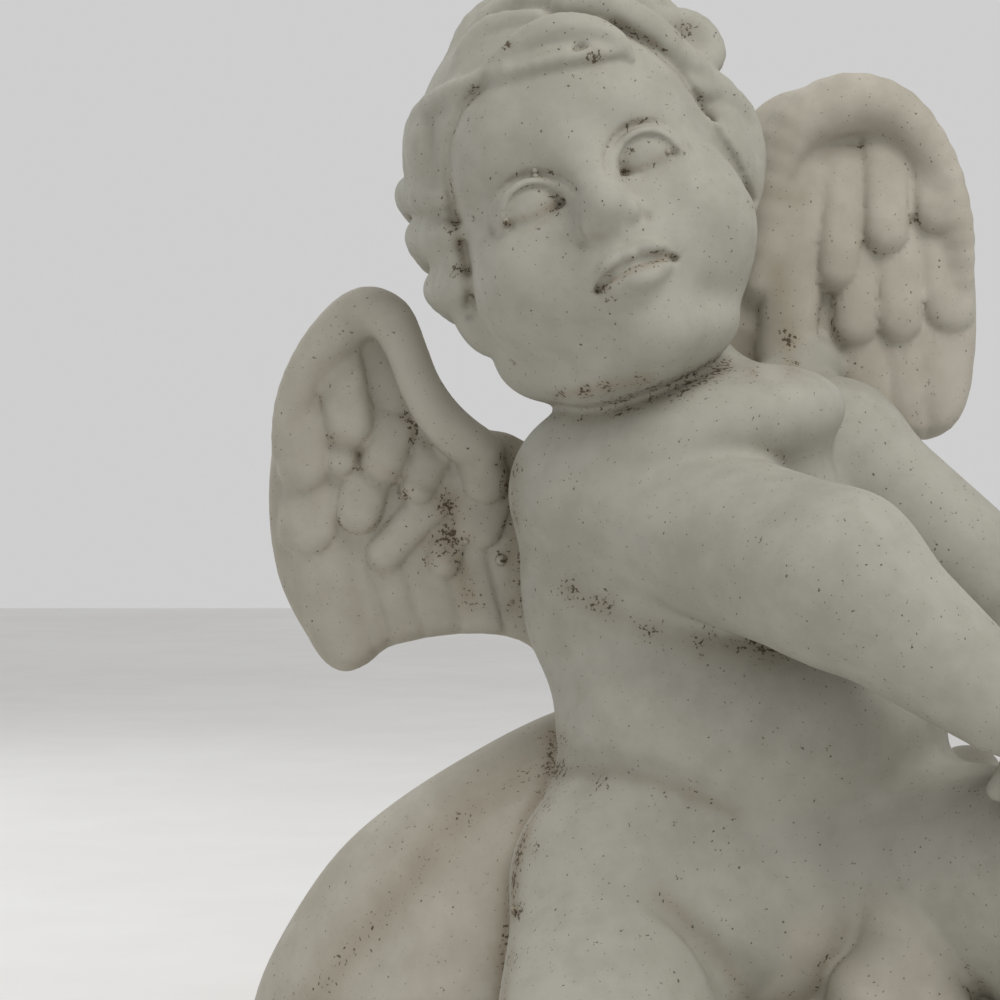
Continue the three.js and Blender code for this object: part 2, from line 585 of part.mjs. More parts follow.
function wing(p, w) {
  return near(p, w.centre, w.reach, ([x, y, z]) => {
    let relief = 0;
    for (const f of w.feathers) {
      relief = Math.max(relief, featherHeight(x, z, f));
    }
    const mid = wingMid(w, x, z);
    const front = mid - y - w.front - relief;
    const behind = y - mid - w.back - 0.9 * Math.sin((w.side * x * 0.5 + z * 0.3) * 0.75);
    const r = 3.5;
    const edge = signedEdge(x, z, w.loop) + r;
    const slab = -blend(-front, -behind, 1.5) + r;
    const d = Math.hypot(Math.max(edge, 0), Math.max(slab, 0)) + Math.min(Math.max(edge, slab), 0) - r;
    return blend(d * 0.85, chain([x, y, z], w.ridge, 1), 2.5);
  });
}

function statue(p) {
  let d = torso(p);
  d = blend(d, legR(p), 7);
  // lower belly between the thighs
  d = blend(d, egg(p, [6, -22, 110], [27, 25, 30]), 8);
  d = folded(blend(d, legL(p), 7), p);
  d = blend(d, armR(p), 4);
  d = blend(d, armL(p), 4);
  d = blend(d, wing(p, nearWing), 3);
  d = blend(d, wing(p, farWing), 3);
  d = blend(d, near(p, head.centre, head.reach, headShape), 2);
  d = blend(d, near(p, [26, -24, 74], 104, swag), 2.5);
  let c = blend(cloth(p), near(p, [74, -40, 22], 78, rock), 5);
  c = blend(c, plinth(p), 3);
  return blend(d, c, 1.6);
}

// Distances on a grid, worked out finely only in blocks that the surface may cross
function sampled() {
  const { step, block: side, low, high } = mesh;
  const size = side * step;
  const blocks = [0, 1, 2].map((i) => Math.ceil((high[i] - low[i]) / size));
  const n = blocks.map((b) => b * side);
  const values = new Float32Array(n[0] * n[1] * n[2]);
  const at = (i, j, k) => (i * n[1] + j) * n[2] + k;
  for (let a = 0; a < blocks[0]; a++) {
    for (let b = 0; b < blocks[1]; b++) {
      for (let c = 0; c < blocks[2]; c++) {
        const corner = [a * side, b * side, c * side];
        const middle = corner.map((g, i) => low[i] + (g + (side - 1) / 2) * step);
        const d = statue(middle);
        const crossed = Math.abs(d) < size * 1.1 + 5;
        for (let i = 0; i < side ** 3; i++) {
          const layer = Math.floor(i / side);
          const g = [corner[0] + (i % side), corner[1] + (layer % side), corner[2] + Math.floor(layer / side)];
          values[at(...g)] = crossed ? statue(g.map((t, axis) => low[axis] + t * step)) : d;
        }
      }
    }
  }
  return { n, values, at };
}

// Surface by tetrahedra: six to a grid cell, so the result is always closed
const corners = [[0, 0, 0], [1, 0, 0], [1, 1, 0], [0, 1, 0], [0, 0, 1], [1, 0, 1], [1, 1, 1], [0, 1, 1]];
const tetrahedra = [[0, 5, 1, 6], [0, 1, 2, 6], [0, 2, 3, 6], [0, 3, 7, 6], [0, 7, 4, 6], [0, 4, 5, 6]];

function surfaced({ n, values, at }) {
  const points = [];
  const faces = [];
  const known = new Map();
  const total = values.length;

  function cut(a, b) {
    const key = a.id < b.id ? a.id * total + b.id : b.id * total + a.id;
    if (!known.has(key)) {
      const t = clamp(a.d / (a.d - b.d), 0.02, 0.98);
      known.set(key, points.length);
      points.push([0, 1, 2].map((i) => mesh.low[i] + (a.g[i] + (b.g[i] - a.g[i]) * t) * mesh.step));
    }
    return known.get(key);
  }

  function face(a, b, c, inner) {
    const [p, q, r] = [points[a], points[b], points[c]];
    const normal = cross(add(q, p, -1), add(r, p, -1));
    const from = inner.map((g, i) => mesh.low[i] + g * mesh.step);
    faces.push(dot(normal, add(p, from, -1)) > 0 ? [a, b, c] : [a, c, b]);
  }

  for (let i = 0; i < n[0] - 1; i++) {
    for (let j = 0; j < n[1] - 1; j++) {
      for (let k = 0; k < n[2] - 1; k++) {
        const first = values[at(i, j, k)] < 0;
        if (corners.every(([a, b, c]) => values[at(i + a, j + b, k + c)] < 0 === first)) {
          continue;
        }
        const cell = corners.map(([a, b, c]) => {
          const id = at(i + a, j + b, k + c);
          return { id, d: values[id] || 1e-6, g: [i + a, j + b, k + c] };
        });
        for (const tetra of tetrahedra) {
          const inside = tetra.map((t) => cell[t]).filter((s) => s.d < 0);
          const outside = tetra.map((t) => cell[t]).filter((s) => s.d >= 0);
          if (inside.length === 1) {
            face(...outside.map((o) => cut(inside[0], o)), inside[0].g);
          } else if (inside.length === 3) {
            const mid = [0, 1, 2].map((t) => (inside[0].g[t] + inside[1].g[t] + inside[2].g[t]) / 3);
            face(...inside.map((s) => cut(s, outside[0])), mid);
          } else if (inside.length === 2) {
            const [a, b] = inside;
            const [c, d] = outside;
            const quad = [cut(a, c), cut(a, d), cut(b, d), cut(b, c)];
            const mid = [0, 1, 2].map((t) => (a.g[t] + b.g[t]) / 2);
            face(quad[0], quad[1], quad[2], mid);
            face(quad[0], quad[2], quad[3], mid);
          }
        }
      }
    }
  }
  return { points, faces };
}

// Keeps the one outer shell, dropping any sealed pocket
function outerShell({ points, faces }) {
  const parent = points.map((_, i) => i);
  const find = (i) => {
    let r = i;
    while (parent[r] !== r) {
      parent[r] = parent[parent[r]];
      r = parent[r];
    }
    return r;
  };
  for (const [a, b, c] of faces) {
    parent[find(a)] = find(b);
    parent[find(b)] = find(c);
  }
  const count = new Map();
  for (const f of faces) {
    const root = find(f[0]);
    count.set(root, (count.get(root) || 0) + 1);
  }
  const biggest = [...count].sort((a, b) => b[1] - a[1])[0][0];
  return { points, faces: faces.filter((f) => find(f[0]) === biggest) };
}

// Joins the shortest-error edges until few triangles are left (quadric error)
function plane(p, q, r) {
  const normal = cross(add(q, p, -1), add(r, p, -1));
  const area = length(normal);
  const [a, b, c] = area > 1e-12 ? normal.map((t) => t / area) : [0, 0, 0];
  const d = -(a * p[0] + b * p[1] + c * p[2]);
  return [a * a, a * b, a * c, a * d, b * b, b * c, b * d, c * c, c * d, d * d].map((t) => t * area);
}

function errorAt(q, [x, y, z]) {
  return q[0] * x * x + 2 * q[1] * x * y + 2 * q[2] * x * z + 2 * q[3] * x + q[4] * y * y + 2 * q[5] * y * z
    + 2 * q[6] * y + q[7] * z * z + 2 * q[8] * z + q[9];
}

function bestPoint(q, a, b) {
  const mid = a.map((c, i) => (c + b[i]) / 2);
  const keep = 1e-3 * (q[0] + q[4] + q[7]) + 1e-9;
  const m = new THREE.Matrix3().set(q[0] + keep, q[1], q[2], q[1], q[4] + keep, q[5], q[2], q[5], q[7] + keep);
  const right = new THREE.Vector3(keep * mid[0] - q[3], keep * mid[1] - q[6], keep * mid[2] - q[8]);
  const best = right.applyMatrix3(m.invert()).toArray();
  return length(add(best, mid, -1)) < 2 * length(add(b, a, -1)) + 0.01 ? best : mid;
}

const longest = (p, q, r) => Math.max(length(add(q, p, -1)), length(add(r, q, -1)), length(add(p, r, -1)));

class Heap {
  constructor() {
    this.items = [];
  }

  push(item) {
    const list = this.items;
    let i = list.push(item) - 1;
    while (i > 0) {
      const up = (i - 1) >> 1;
      if (list[up].cost <= item.cost) {
        break;
      }
      list[i] = list[up];
      i = up;
    }
    list[i] = item;
  }

  pop() {
    const list = this.items;
    const top = list[0];
    const item = list.pop();
    if (list.length) {
      let i = 0;
      for (;;) {
        let down = 2 * i + 1;
        if (down >= list.length) {
          break;
        }
        if (down + 1 < list.length && list[down + 1].cost < list[down].cost) {
          down++;
        }
        if (list[down].cost >= item.cost) {
          break;
        }
        list[i] = list[down];
        i = down;
      }
      list[i] = item;
    }
    return top;
  }
}

function simplified({ points, faces }, target) {
  const pos = points.map((p) => [...p]);
  const quadric = pos.map(() => new Array(10).fill(0));
  const around = pos.map(() => new Set());
  const stamp = new Int32Array(pos.length);
  faces.forEach((f, i) => {
    const q = plane(...f.map((v) => pos[v]));
    for (const v of f) {
      around[v].add(i);
      q.forEach((t, j) => {
        quadric[v][j] += t;
      });
    }
  });
  const heap = new Heap();

  function offer(a, b) {
    const q = quadric[a].map((t, i) => t + quadric[b][i]);
    const to = bestPoint(q, pos[a], pos[b]);
    const long = length(add(pos[b], pos[a], -1));
    heap.push({ a, b, to, cost: errorAt(q, to) + 1e-5 * long * long, age: stamp[a] + stamp[b] });
  }

  function ring(v) {
    const out = new Set();
    for (const i of around[v]) {
      faces[i].forEach((w) => out.add(w));
    }
    out.delete(v);
    return out;
  }

  function flips(v, other, to) {
    for (const i of around[v]) {
      const f = faces[i];
      if (f.includes(other)) {
        continue;
      }
      const k = f.indexOf(v);
      const p = pos[f[(k + 1) % 3]];
      const q = pos[f[(k + 2) % 3]];
      const side = add(q, p, -1);
      const n0 = cross(side, add(pos[v], p, -1));
      const n1 = cross(side, add(to, p, -1));
      const before = length(n0) / longest(pos[v], p, q) ** 2;
      const after = length(n1) / longest(to, p, q) ** 2;
      const turns = dot(n0, n1) < 0.2 * length(n0) * length(n1);
      if ((turns && before > 0.02) || after < Math.min(0.05, 0.7 * before)) {
        return true;
      }
    }
    return false;
  }

  for (let v = 0; v < pos.length; v++) {
    for (const w of ring(v)) {
      if (v < w) {
        offer(v, w);
      }
    }
  }
  let left = faces.length;
  let blocked = [];
  let lastTry = 0;
  while (left > target && (heap.items.length || blocked.length)) {
    if (!heap.items.length) {
      const again = blocked.filter(([a, b]) => around[a].size && around[b].size && ring(a).has(b));
      blocked = [];
      if (again.length === lastTry) {
        break;
      }
      lastTry = again.length;
      again.forEach(([a, b]) => offer(a, b));
      continue;
    }
    const { a, b, to, age } = heap.pop();
    if (!around[a].size || !around[b].size || age !== stamp[a] + stamp[b]) {
      continue;
    }
    const ringA = ring(a);
    if (!ringA.has(b)) {
      continue;
    }
    const shared = [...ring(b)].filter((w) => ringA.has(w));
    if (shared.length !== 2 || flips(a, b, to) || flips(b, a, to)) {
      blocked.push([a, b]);
      continue;
    }
    for (const i of [...around[b]]) {
      const f = faces[i];
      if (f.includes(a)) {
        f.forEach((w) => around[w].delete(i));
        faces[i] = null;
        left--;
      } else {
        f[f.indexOf(b)] = a;
        around[a].add(i);
      }
    }
    around[b].clear();
    pos[a] = to;
    quadric[a] = quadric[a].map((t, i) => t + quadric[b][i]);
    stamp[a] += 1 + stamp[b];
    ring(a).forEach((w) => offer(a, w));
  }
  return { points: pos, faces: faces.filter((f) => f) };
}

function toGeometry({ points, faces }) {
  const index = new Map();
  const position = [];
  const indices = [];
  for (const f of faces) {
    for (const v of f) {
      if (!index.has(v)) {
        index.set(v, index.size);
        const [x, y, z] = points[v];
        position.push(x + centring[0], y + centring[1], z < 0.35 ? 0 : z);
      }
      indices.push(index.get(v));
    }
  }
  const geometry = new THREE.BufferGeometry();
  geometry.setAttribute("position", new THREE.Float32BufferAttribute(position, 3));
  geometry.setIndex(indices);
  geometry.computeVertexNormals();
  return geometry;
}

const stone = new THREE.MeshStandardMaterial({ color: 0xb9b3a4, roughness: 0.85, metalness: 0 });
const shell = outerShell(surfaced(sampled()));
const putto = new THREE.Mesh(toGeometry(simplified(shell, mesh.triangles)), stone);
putto.name = "putto";

const group = new THREE.Group();
group.name = "stone_putto_statue";
group.add(putto);

export default group;
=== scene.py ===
import math
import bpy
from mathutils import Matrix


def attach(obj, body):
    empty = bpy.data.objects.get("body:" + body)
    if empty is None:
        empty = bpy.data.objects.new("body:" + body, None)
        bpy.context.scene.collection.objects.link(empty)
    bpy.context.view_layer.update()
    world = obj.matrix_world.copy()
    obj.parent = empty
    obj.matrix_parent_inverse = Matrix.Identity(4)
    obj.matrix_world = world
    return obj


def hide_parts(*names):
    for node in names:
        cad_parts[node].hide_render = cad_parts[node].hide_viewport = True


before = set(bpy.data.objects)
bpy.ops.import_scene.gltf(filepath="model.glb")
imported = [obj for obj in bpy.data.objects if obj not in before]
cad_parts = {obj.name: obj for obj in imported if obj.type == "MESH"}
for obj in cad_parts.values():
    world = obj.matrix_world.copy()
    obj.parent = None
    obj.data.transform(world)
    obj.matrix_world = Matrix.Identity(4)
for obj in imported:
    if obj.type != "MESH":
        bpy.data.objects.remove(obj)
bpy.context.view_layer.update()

from concurrent.futures import ThreadPoolExecutor

import bpy
import numpy as np
import openvdb
from mathutils import Vector
from mathutils.bvhtree import BVHTree

# Stone putto statue: a winged infant of cast stone, seated on a rock hung with cloth, on a low oval base.
# The figure is worked out in millimetres as one solid, from signed distances, then turned into a mesh.

statue = {
    "centring": (1.65, 3.05, 0.0),  # puts the base's middle on the origin, mm
    "fineness": 1.0,  # grid spacing, 1 is the finished surface
    "quickFineness": 1.7,
    "triangles": 194000,
    "settleStep": 0.25,
    "settleLimit": 0.6,
    "ground": 0.35,  # anything under this height lies flat on the floor, mm
}

# mm, and mm for one pixel of the photograph at y = 0
camera = {"x": -60.0, "z": 207.5, "distance": 600.0, "pixel": 0.25}


def vec(*xyz):
    return np.array(xyz, np.float32)


def blend(a, b, k):
    h = np.clip(0.5 + 0.5 * (b - a) / k, 0, 1)
    return b + (a - b) * h - k * h * (1 - h)


def carve(a, b, k):
    return -blend(-a, b, k)


def ball(p, c, r):
    return np.linalg.norm(p - vec(*c), axis=1) - r


def egg(p, c, r, turn=None):
    q = p - vec(*c)
    if turn is not None:
        q = q @ turn
    r = vec(*r)
    a = np.linalg.norm(q / r, axis=1)
    b = np.linalg.norm(q / (r * r), axis=1)
    return a * (a - 1) / np.maximum(b, 1e-6)


def limb(p, a, b, ra, rb):
    a, b = vec(*a), vec(*b)
    ab = b - a
    t = np.clip(((p - a) @ ab) / max(float(ab @ ab), 1e-9), 0, 1)
    return np.linalg.norm(p - a - t[:, None] * ab, axis=1) - (ra + (rb - ra) * t)


def chain(p, points, radii, k=0.0):
    out = None
    for i in range(len(points) - 1):
        d = limb(p, points[i], points[i + 1], radii[i], radii[i + 1])
        out = d if out is None else (blend(out, d, k) if k else np.minimum(out, d))
    return out


def near(p, c, reach, shape):
    away = np.linalg.norm(p - vec(*c), axis=1) - reach
    out = np.maximum(away, 0) + 14.0
    pick = away < 0
    if pick.any():
        out[pick] = shape(p[pick])
    return out.astype(np.float32)


def turned(x=0, y=0, z=0):
    a, b, c = (math.radians(t) for t in (x, y, z))
    rx = np.array([[1, 0, 0], [0, math.cos(a), -math.sin(a)], [0, math.sin(a), math.cos(a)]])
    ry = np.array([[math.cos(b), 0, math.sin(b)], [0, 1, 0], [-math.sin(b), 0, math.cos(b)]])
    rz = np.array([[math.cos(c), -math.sin(c), 0], [math.sin(c), math.cos(c), 0], [0, 0, 1]])
    return (ry @ rz @ rx).astype(np.float32)


# Head
head = {"centre": (-40.5, -8, 285), "pitch": -6.0, "roll": -22.5, "yaw": 0.0}
headTurn = turned(x=head["pitch"], y=head["roll"], z=head["yaw"])


def mirrored(p):
    return np.stack([np.abs(p[:, 0]), p[:, 1], p[:, 2]], 1)


# a point of a smooth line between p1 and p2
def between(p0, p1, p2, p3, t):
    return 0.5 * (2 * p1 + (p2 - p0) * t + (2 * p0 - 5 * p1 + 4 * p2 - p3) * t * t
                  + (3 * p1 - p0 - 3 * p2 + p3) * t ** 3)


def curve(stations, steps):
    pts = np.array(stations, np.float64)
    pts = np.vstack([2 * pts[0] - pts[1], pts, 2 * pts[-1] - pts[-2]])
    out = []
    for i in range(1, len(pts) - 2):
        out.extend(between(*pts[i - 1:i + 3], s / steps) for s in range(steps))
    out.append(pts[-2])
    return np.array(out)


def strand(q, stations, steps=3, k=0.4):
    c = curve(stations, steps)
    mid = (c[:, :3].min(0) + c[:, :3].max(0)) / 2
    reach = np.linalg.norm(c[:, :3] - mid, axis=1).max() + c[:, 3].max() + 15
    return near(q, mid, reach, lambda s: chain(s, c[:, :3], c[:, 3], k))


eye = {
    "at": (14.9, -30.4, -7.6), "ball": (10.2, 8.3, 8.8), "lid": 10.3, "crease": 0.8,
    "half": 7.0, "low": -10.9, "rise": 7.2, "sag": 0.9,  # the opening: half width, lower edge, rise and sag
    "shift": (1.1, 0, -0.9),  # the eye on the image's right
}


def lens(x, z, half, rise, sag):
    up = (half * half + rise * rise) / (2 * rise)
    down = (half * half + sag * sag) / (2 * sag)
    return np.maximum(np.hypot(x, z - rise + up) - up, np.hypot(x, z - down + sag) - down)


def eyes(d, m):
    cx, cy, _ = eye["at"]
    x, z = m[:, 0] - cx, m[:, 2] - eye["low"]
    shape = lens(x, z, eye["half"], eye["rise"], eye["sag"])
    rim = lens(x, z, eye["half"] + 2.3, eye["rise"] + 2.1, eye["sag"] + 0.4)
    front = m[:, 1] - cy
    # the lid, raised round the upper edge
    lid = np.maximum(ball(m, eye["at"], eye["lid"]), rim)
    lid = np.maximum(lid, front)
    d = blend(d, carve(lid, z + 0.6, 1.5), 1.4)
    # crease over the lid
    crease = eye["crease"] * np.exp(-((rim - 0.9) / 1.0) ** 2) * np.clip((z + 1.5) / 3, 0, 1)
    d = d + np.where(front < 0, crease, 0)
    # the opening, then the ball in it
    d = carve(d, np.maximum(np.maximum(shape, front), ball(m, eye["at"], 12.5)), 1.3)
    d = blend(d, egg(m, eye["at"], eye["ball"]), 0.5)
    for side, deep in ((-1, 0.5), (1, 0.7)):
        at = (cx + side * (eye["half"] - 0.6), cy - 7.0 + 0.4 * side, eye["low"] + 0.6)
        d = carve(d, egg(m, at, (1.3, 1.6, deep)), 1.0)
    return d


def face(q):
    m = mirrored(q)
    n = mirrored(q - vec(0.8, 0, 0))
    d = egg(q, (0, 8, 8), (37.5, 42, 41))
    d = blend(d, egg(q, (0, -11, 9), (33, 31.5, 27)), 12)
    d = blend(d, egg(q, (-0.5, -8, -21), (34, 32, 32.5)), 10)
    d = blend(d, ball(m, (17, -21.5, -22.5), 16.8), 9)
    d = blend(d, ball(q, (0.5, -31, -43.5), 9.3), 8)
    d = blend(d, egg(q, (-2, -14, -47), (23, 20, 9)), 6)
    d = blend(d, egg(q, (-12, 4, -34), (24, 22, 16)), 8)
    d = blend(d, egg(q, (0.5, -31.5, -28.5), (14, 12.0, 11)), 8)
    # sockets
    d = carve(d, egg(m, (14.8, -46.0, -5.0), (10, 7.2, 7.5)), 7)
    # nose: a broad low bridge and a short round tip, seen a little from below
    nose = limb(q, (0, -33.8, -1), (0, -42.6, -14.0), 6.6, 5.2)
    nose = blend(nose, ball(q, (0, -45.4, -15.6), 4.9), 3)
    d = blend(d, nose, 6)
    d = blend(d, limb(q, (0, -44.5, -17), (0.2, -40.5, -22.5), 2.4, 2.2), 2)
    d = blend(d, egg(m, (5.0, -41.4, -18.9), (3.0, 4.2, 3.2)), 1.6)
    d = carve(d, limb(m, (7.5, -44.0, -15.5), (8.0, -42.2, -21.5), 0.6, 0.8), 1.8)
    d = eyes(d, m + (q[:, :1] > 0) * vec(*eye["shift"]))
    # lips
    d = carve(d, egg(q, (0.5, -45.8, -25.4), (1.5, 1.7, 2.0)), 1.6)
    upper = egg(n, (3.9, -41.8, -28.5), (5.0, 3.9, 2.3), turned(y=16, z=-14))
    upper = blend(upper, egg(n, (0, -42.4, -28.6), (2.4, 3.5, 1.8)), 1.4)
    d = blend(d, upper, 1.1)
    corner = egg(n, (4.2, -40.6, -34.1), (4.4, 4.0, 2.7), turned(y=-10, z=-14))
    under = blend(egg(n, (0, -41.9, -34.6), (5.4, 4.6, 3.5)), corner, 1.5)
    d = blend(d, under, 1.2)
    parting = [(0, -46.6, -31.1), (4.5, -45.2, -31.2), (8.3, -42.0, -32.2), (9.6, -39.8, -32.8)]
    d = carve(d, chain(n, parting, [1.0, 1.05, 1.1, 0.8]), 0.8)
    d = carve(d, egg(q, (0.6, -43.8, -40.2), (7.0, 2.6, 1.6)), 3)
    return d


frontLocks = [
    # left cluster: a C-shaped curl, then two bands stacked down the cheek
    [(-14, -32.5, 24.5, 2.2), (-21, -27, 25.5, 3.8), (-28, -15, 26, 4.8), (-32.5, -7, 20.5, 5.2),
     (-34.5, -8, 13, 5.0), (-33, -15, 8.5, 4.0), (-30.5, -21, 6.5, 2.6)],
    [(-15, -31.5, 24.5, 2.2), (-21, -28.5, 21, 2.4), (-26, -26, 15.5, 2.0), (-29.5, -23, 9.5, 2.2)],
    [(-31, -21, 5, 2.6), (-35.5, -11, 9.5, 4.6), (-38, 6, 15, 5.2), (-38, 18, 14, 4.6)],
    [(-31.5, -20.5, -4, 3.0), (-36, -11, -1, 5.0), (-39.5, 6, 4, 5.4), (-39, 18, 1, 4.8)],
    [(-33.5, -17.5, -15.5, 2.8), (-37.5, -9, -13.5, 5.0), (-40, 6, -10, 5.6), (-38, 18, -13, 5)],
    # crown, image left of the forelock
    [(-19, -12, 31, 4), (-14, -5, 38.5, 5), (-7.5, -1, 45.5, 5.2), (3, 0, 49.5, 4.5)],
    [(-17, -24, 28, 3), (-13.5, -20, 34, 4.6), (-6, -21, 38, 4.2), (4, -27, 34.5, 3)],
    [(-12, -13, 37, 3.4), (-5, -12, 43, 4.2), (5, -16, 42.5, 4.2), (12, -25, 36.5, 3)],
    # forelock: a crescent, and the strand under it along the hairline
    [(-15, -31.5, 24.5, 1.8), (-8, -35, 26.6, 3.2), (0, -37, 27.6, 4.2), (7, -37.2, 27.0, 4.6),
     (13.5, -36.6, 24, 4.2), (17.6, -37, 20, 3.0), (19.5, -36.5, 15.5, 1.3)],
    [(-17, -31.5, 24.8, 2.2), (-8, -37.4, 23.0, 2.9), (2, -40.2, 21.4, 3.0), (10, -40.2, 19.6, 2.6),
     (16, -38.6, 17.8, 1.5)],
    # right of the forelock, down the temple
    [(12, -27, 35, 4), (20, -27, 31, 4.6), (28, -24, 22, 4.6), (33.5, -18, 13, 4.0), (40, -9, 7.5, 2.8)],
    [(6, -18, 42, 4), (17, -18, 39.5, 5), (27, -13, 34, 5), (33, -8, 28, 3.4)],
    # round curl
    [(30, -11, 26, 3.2), (36, -8, 26.5, 4.0), (41, -5, 23, 4.2), (41.5, -5, 17, 4.2), (37.5, -9, 14, 3.6),
     (34.5, -12, 17, 2.8)],
    # curl like an ear over the temple
    [(31, -20, 8, 2.8), (38, -11, 6, 4.0), (42, -4, 0.5, 4.4), (41.5, -2.5, -7.5, 4.4), (39, -3.5, -15, 3.6),
     (35.5, -6.5, -22, 2.4)],
    [(30.3, -21.5, 4.5, 2.0), (33, -17, -4, 2.8), (34.8, -13, -13, 2.7), (34.4, -11, -21, 1.6)],
]


def scalp(q):
    d = egg(q, (0, 9, 4), (37.5, 42, 38))
    d = blend(d, egg(q, (10, 8, 27), (27.5, 35, 26.5)), 6)
    return d


def onScalp(azimuth, elevation, lift):
    flat = math.cos(elevation)
    way = np.array([math.sin(azimuth) * flat, -math.cos(azimuth) * flat, math.sin(elevation)])
    near0, far0 = 0.0, 70.0
    for _ in range(24):
        r = (near0 + far0) / 2
        if scalp((np.array([[3, 9, 12]]) + way * r).astype(np.float32))[0] < 0:
            near0 = r
        else:
            far0 = r
    return np.array([3, 9, 12]) + way * (near0 + lift)


def backLocks():
    out = []
    for i in range(13):
        az = math.radians(74 + 212 * i / 12)
        stations = []
        for j in range(8):
            el = math.radians(80 - 17 * j)
            turn = az + 0.17 * math.sin(2.1 * j + 1.7 * i) * (0.4 + math.cos(el) * 0.6)
            x, y, z = onScalp(turn, el, -1.6 + 0.8 * math.cos(2.6 * j + 2.2 * i))
            stations.append((x, y, z, 4.2 + 0.9 * math.sin(2.6 * j + 2.2 * i + 0.8)))
        out.append(stations)
    return out


fallingHair = backLocks()

# where hair meets skin: (x, z) along the two sides of the face
hairEdges = [
    [(-14, 23.5), (-21, 21.0), (-26.5, 15.5), (-29.5, 9), (-31.3, 2), (-32.4, -6), (-33.4, -13), (-37, -21)],
    [(20, 26), (26, 18.5), (30.5, 10.5), (32.2, 4.5), (33.3, -3.5), (35.2, -13), (36, -21)],
]
hairCrease = {"depth": 1.5, "width": 1.5, "behind": -6}


def creased(d, q):
    x, z = q[:, 0], q[:, 2]
    for line in hairEdges:
        near2 = np.full(len(x), 1e9, np.float32)
        for (x0, z0), (x1, z1) in zip(line, line[1:]):
            ex, ez = x1 - x0, z1 - z0
            t = np.clip(((x - x0) * ex + (z - z0) * ez) / (ex * ex + ez * ez), 0, 1)
            near2 = np.minimum(near2, (x - x0 - ex * t) ** 2 + (z - z0 - ez * t) ** 2)
        groove = hairCrease["depth"] * np.exp(-near2 / hairCrease["width"] ** 2)
        d = d + np.where(q[:, 1] < hairCrease["behind"], groove, 0)
    return d


def hair(q):
    d = scalp(q)
    d = blend(d, egg(q, (-33, 2, -5), (8.5, 20, 20)), 6)
    d = blend(d, egg(q, (-33, 0, -21), (8, 12, 11)), 5)
    d = blend(d, egg(q, (-29, -12, 16), (8.5, 13, 13)), 4)
    d = blend(d, egg(q, (35.5, -4, -5), (7, 12, 17)), 5)
    d = blend(d, egg(q, (36.5, -2, 20), (8, 8, 9)), 4)
    # cut back where the face shows
    d = carve(d, egg(q, (0.5, -42, -10), (30, 34, 36)), 3)
    for stations in frontLocks:
        d = blend(d, strand(q, stations), 2.0)
    for stations in fallingHair:
        d = blend(d, strand(q, stations, 2), 1.8)
    d = carve(d, ball(q, (37.2, -14, 20.5), 2.0), 2.0)
    # hollow of the curl, and the hollow under the forelock's crest with its pocket
    d = carve(d, limb(q, (-27, -26.2, 22), (-31.5, -22.5, 11), 3.2, 3.6), 2.5)
    underCrest = [(-6, -41.5, 24.6), (3, -43.5, 24.2), (11, -43.6, 22.4), (15.5, -42, 20.4)]
    d = carve(d, chain(q, underCrest, [1.0, 2.2, 2.4, 1.0]), 2.4)
    d = carve(d, egg(q, (9.5, -42.5, 21.2), (2.4, 3.2, 1.0)), 1.2)
    return d


def headShape(p):
    q = (p - vec(*head["centre"])) @ headTurn
    return creased(blend(face(q), hair(q), 1.2), q)


# Torso and limbs
body = {
    "shoulderR": (-35.5, -6, 209.5),
    "elbowR": (16, -58, 190),
    "wristR": (50, -72, 163),
    "shoulderL": (25, 16, 219),
    "elbowL": (70, 0, 178),
    "wristL": (74, -52, 160),
}


def torso(p):
    d = egg(p, (-13, 2, 200), (42.5, 28, 31), turned(y=-12, z=14))
    d = blend(d, egg(p, (-5, 2, 178), (48, 30, 32)), 12)
    d = blend(d, egg(p, (2, -8, 150), (48, 36, 34)), 12)
    d = blend(d, egg(p, (8, 4, 122), (53, 36, 28)), 12)
    d = blend(d, limb(p, (-12, 2, 222), (-30, -4, 246), 22, 22), 8)
    # far shoulder and the trapezius slope
    d = blend(d, limb(p, (-10, 4, 224), body["shoulderL"], 17, 18), 8)
    d = blend(d, ball(p, (6, -12, 208), 16), 8)
    d = blend(d, ball(p, (-24, -16, 200), 18), 8)
    # roll of flesh that the jaw rests on
    d = blend(d, egg(p, (-11, -14, 223), (36, 27, 16), turned(y=-14)), 8)
    # root of the far wing
    d = blend(d, limb(p, (2, 12, 220), (20, 28, 242), 14, 9), 5)
    # buttocks
    d = blend(d, ball(p, (-16, 22, 116), 26), 6)
    d = blend(d, ball(p, (34, 24, 116), 26), 6)
    # navel
    d = carve(d, egg(p, (14, -47, 152), (2.2, 4, 1.8)), 2)
    return d


def arms(p):
    s, e, w = body["shoulderR"], body["elbowR"], body["wristR"]
    right = blend(ball(p, s, 22.3), limb(p, (s[0] + 4, s[1] - 4, s[2] - 2), e, 20.5, 20), 8)
    right = blend(right, limb(p, e, w, 19, 11.5), 5)
    right = blend(right, hand(p, w, (0.62, -0.30, -0.55), (0.1, -0.8, 0.6), 1), 3)
    s, e, w = body["shoulderL"], body["elbowL"], body["wristL"]
    left = blend(ball(p, s, 19), limb(p, s, e, 18, 16.5), 6)
    left = blend(left, limb(p, e, w, 16, 11), 5)
    left = blend(left, hand(p, w, (-0.45, -0.72, -0.5), (0.3, -0.5, 0.8), -1), 3)
    return right, left


def unit(a):
    a = np.array(a, np.float64)
    return a / np.linalg.norm(a)


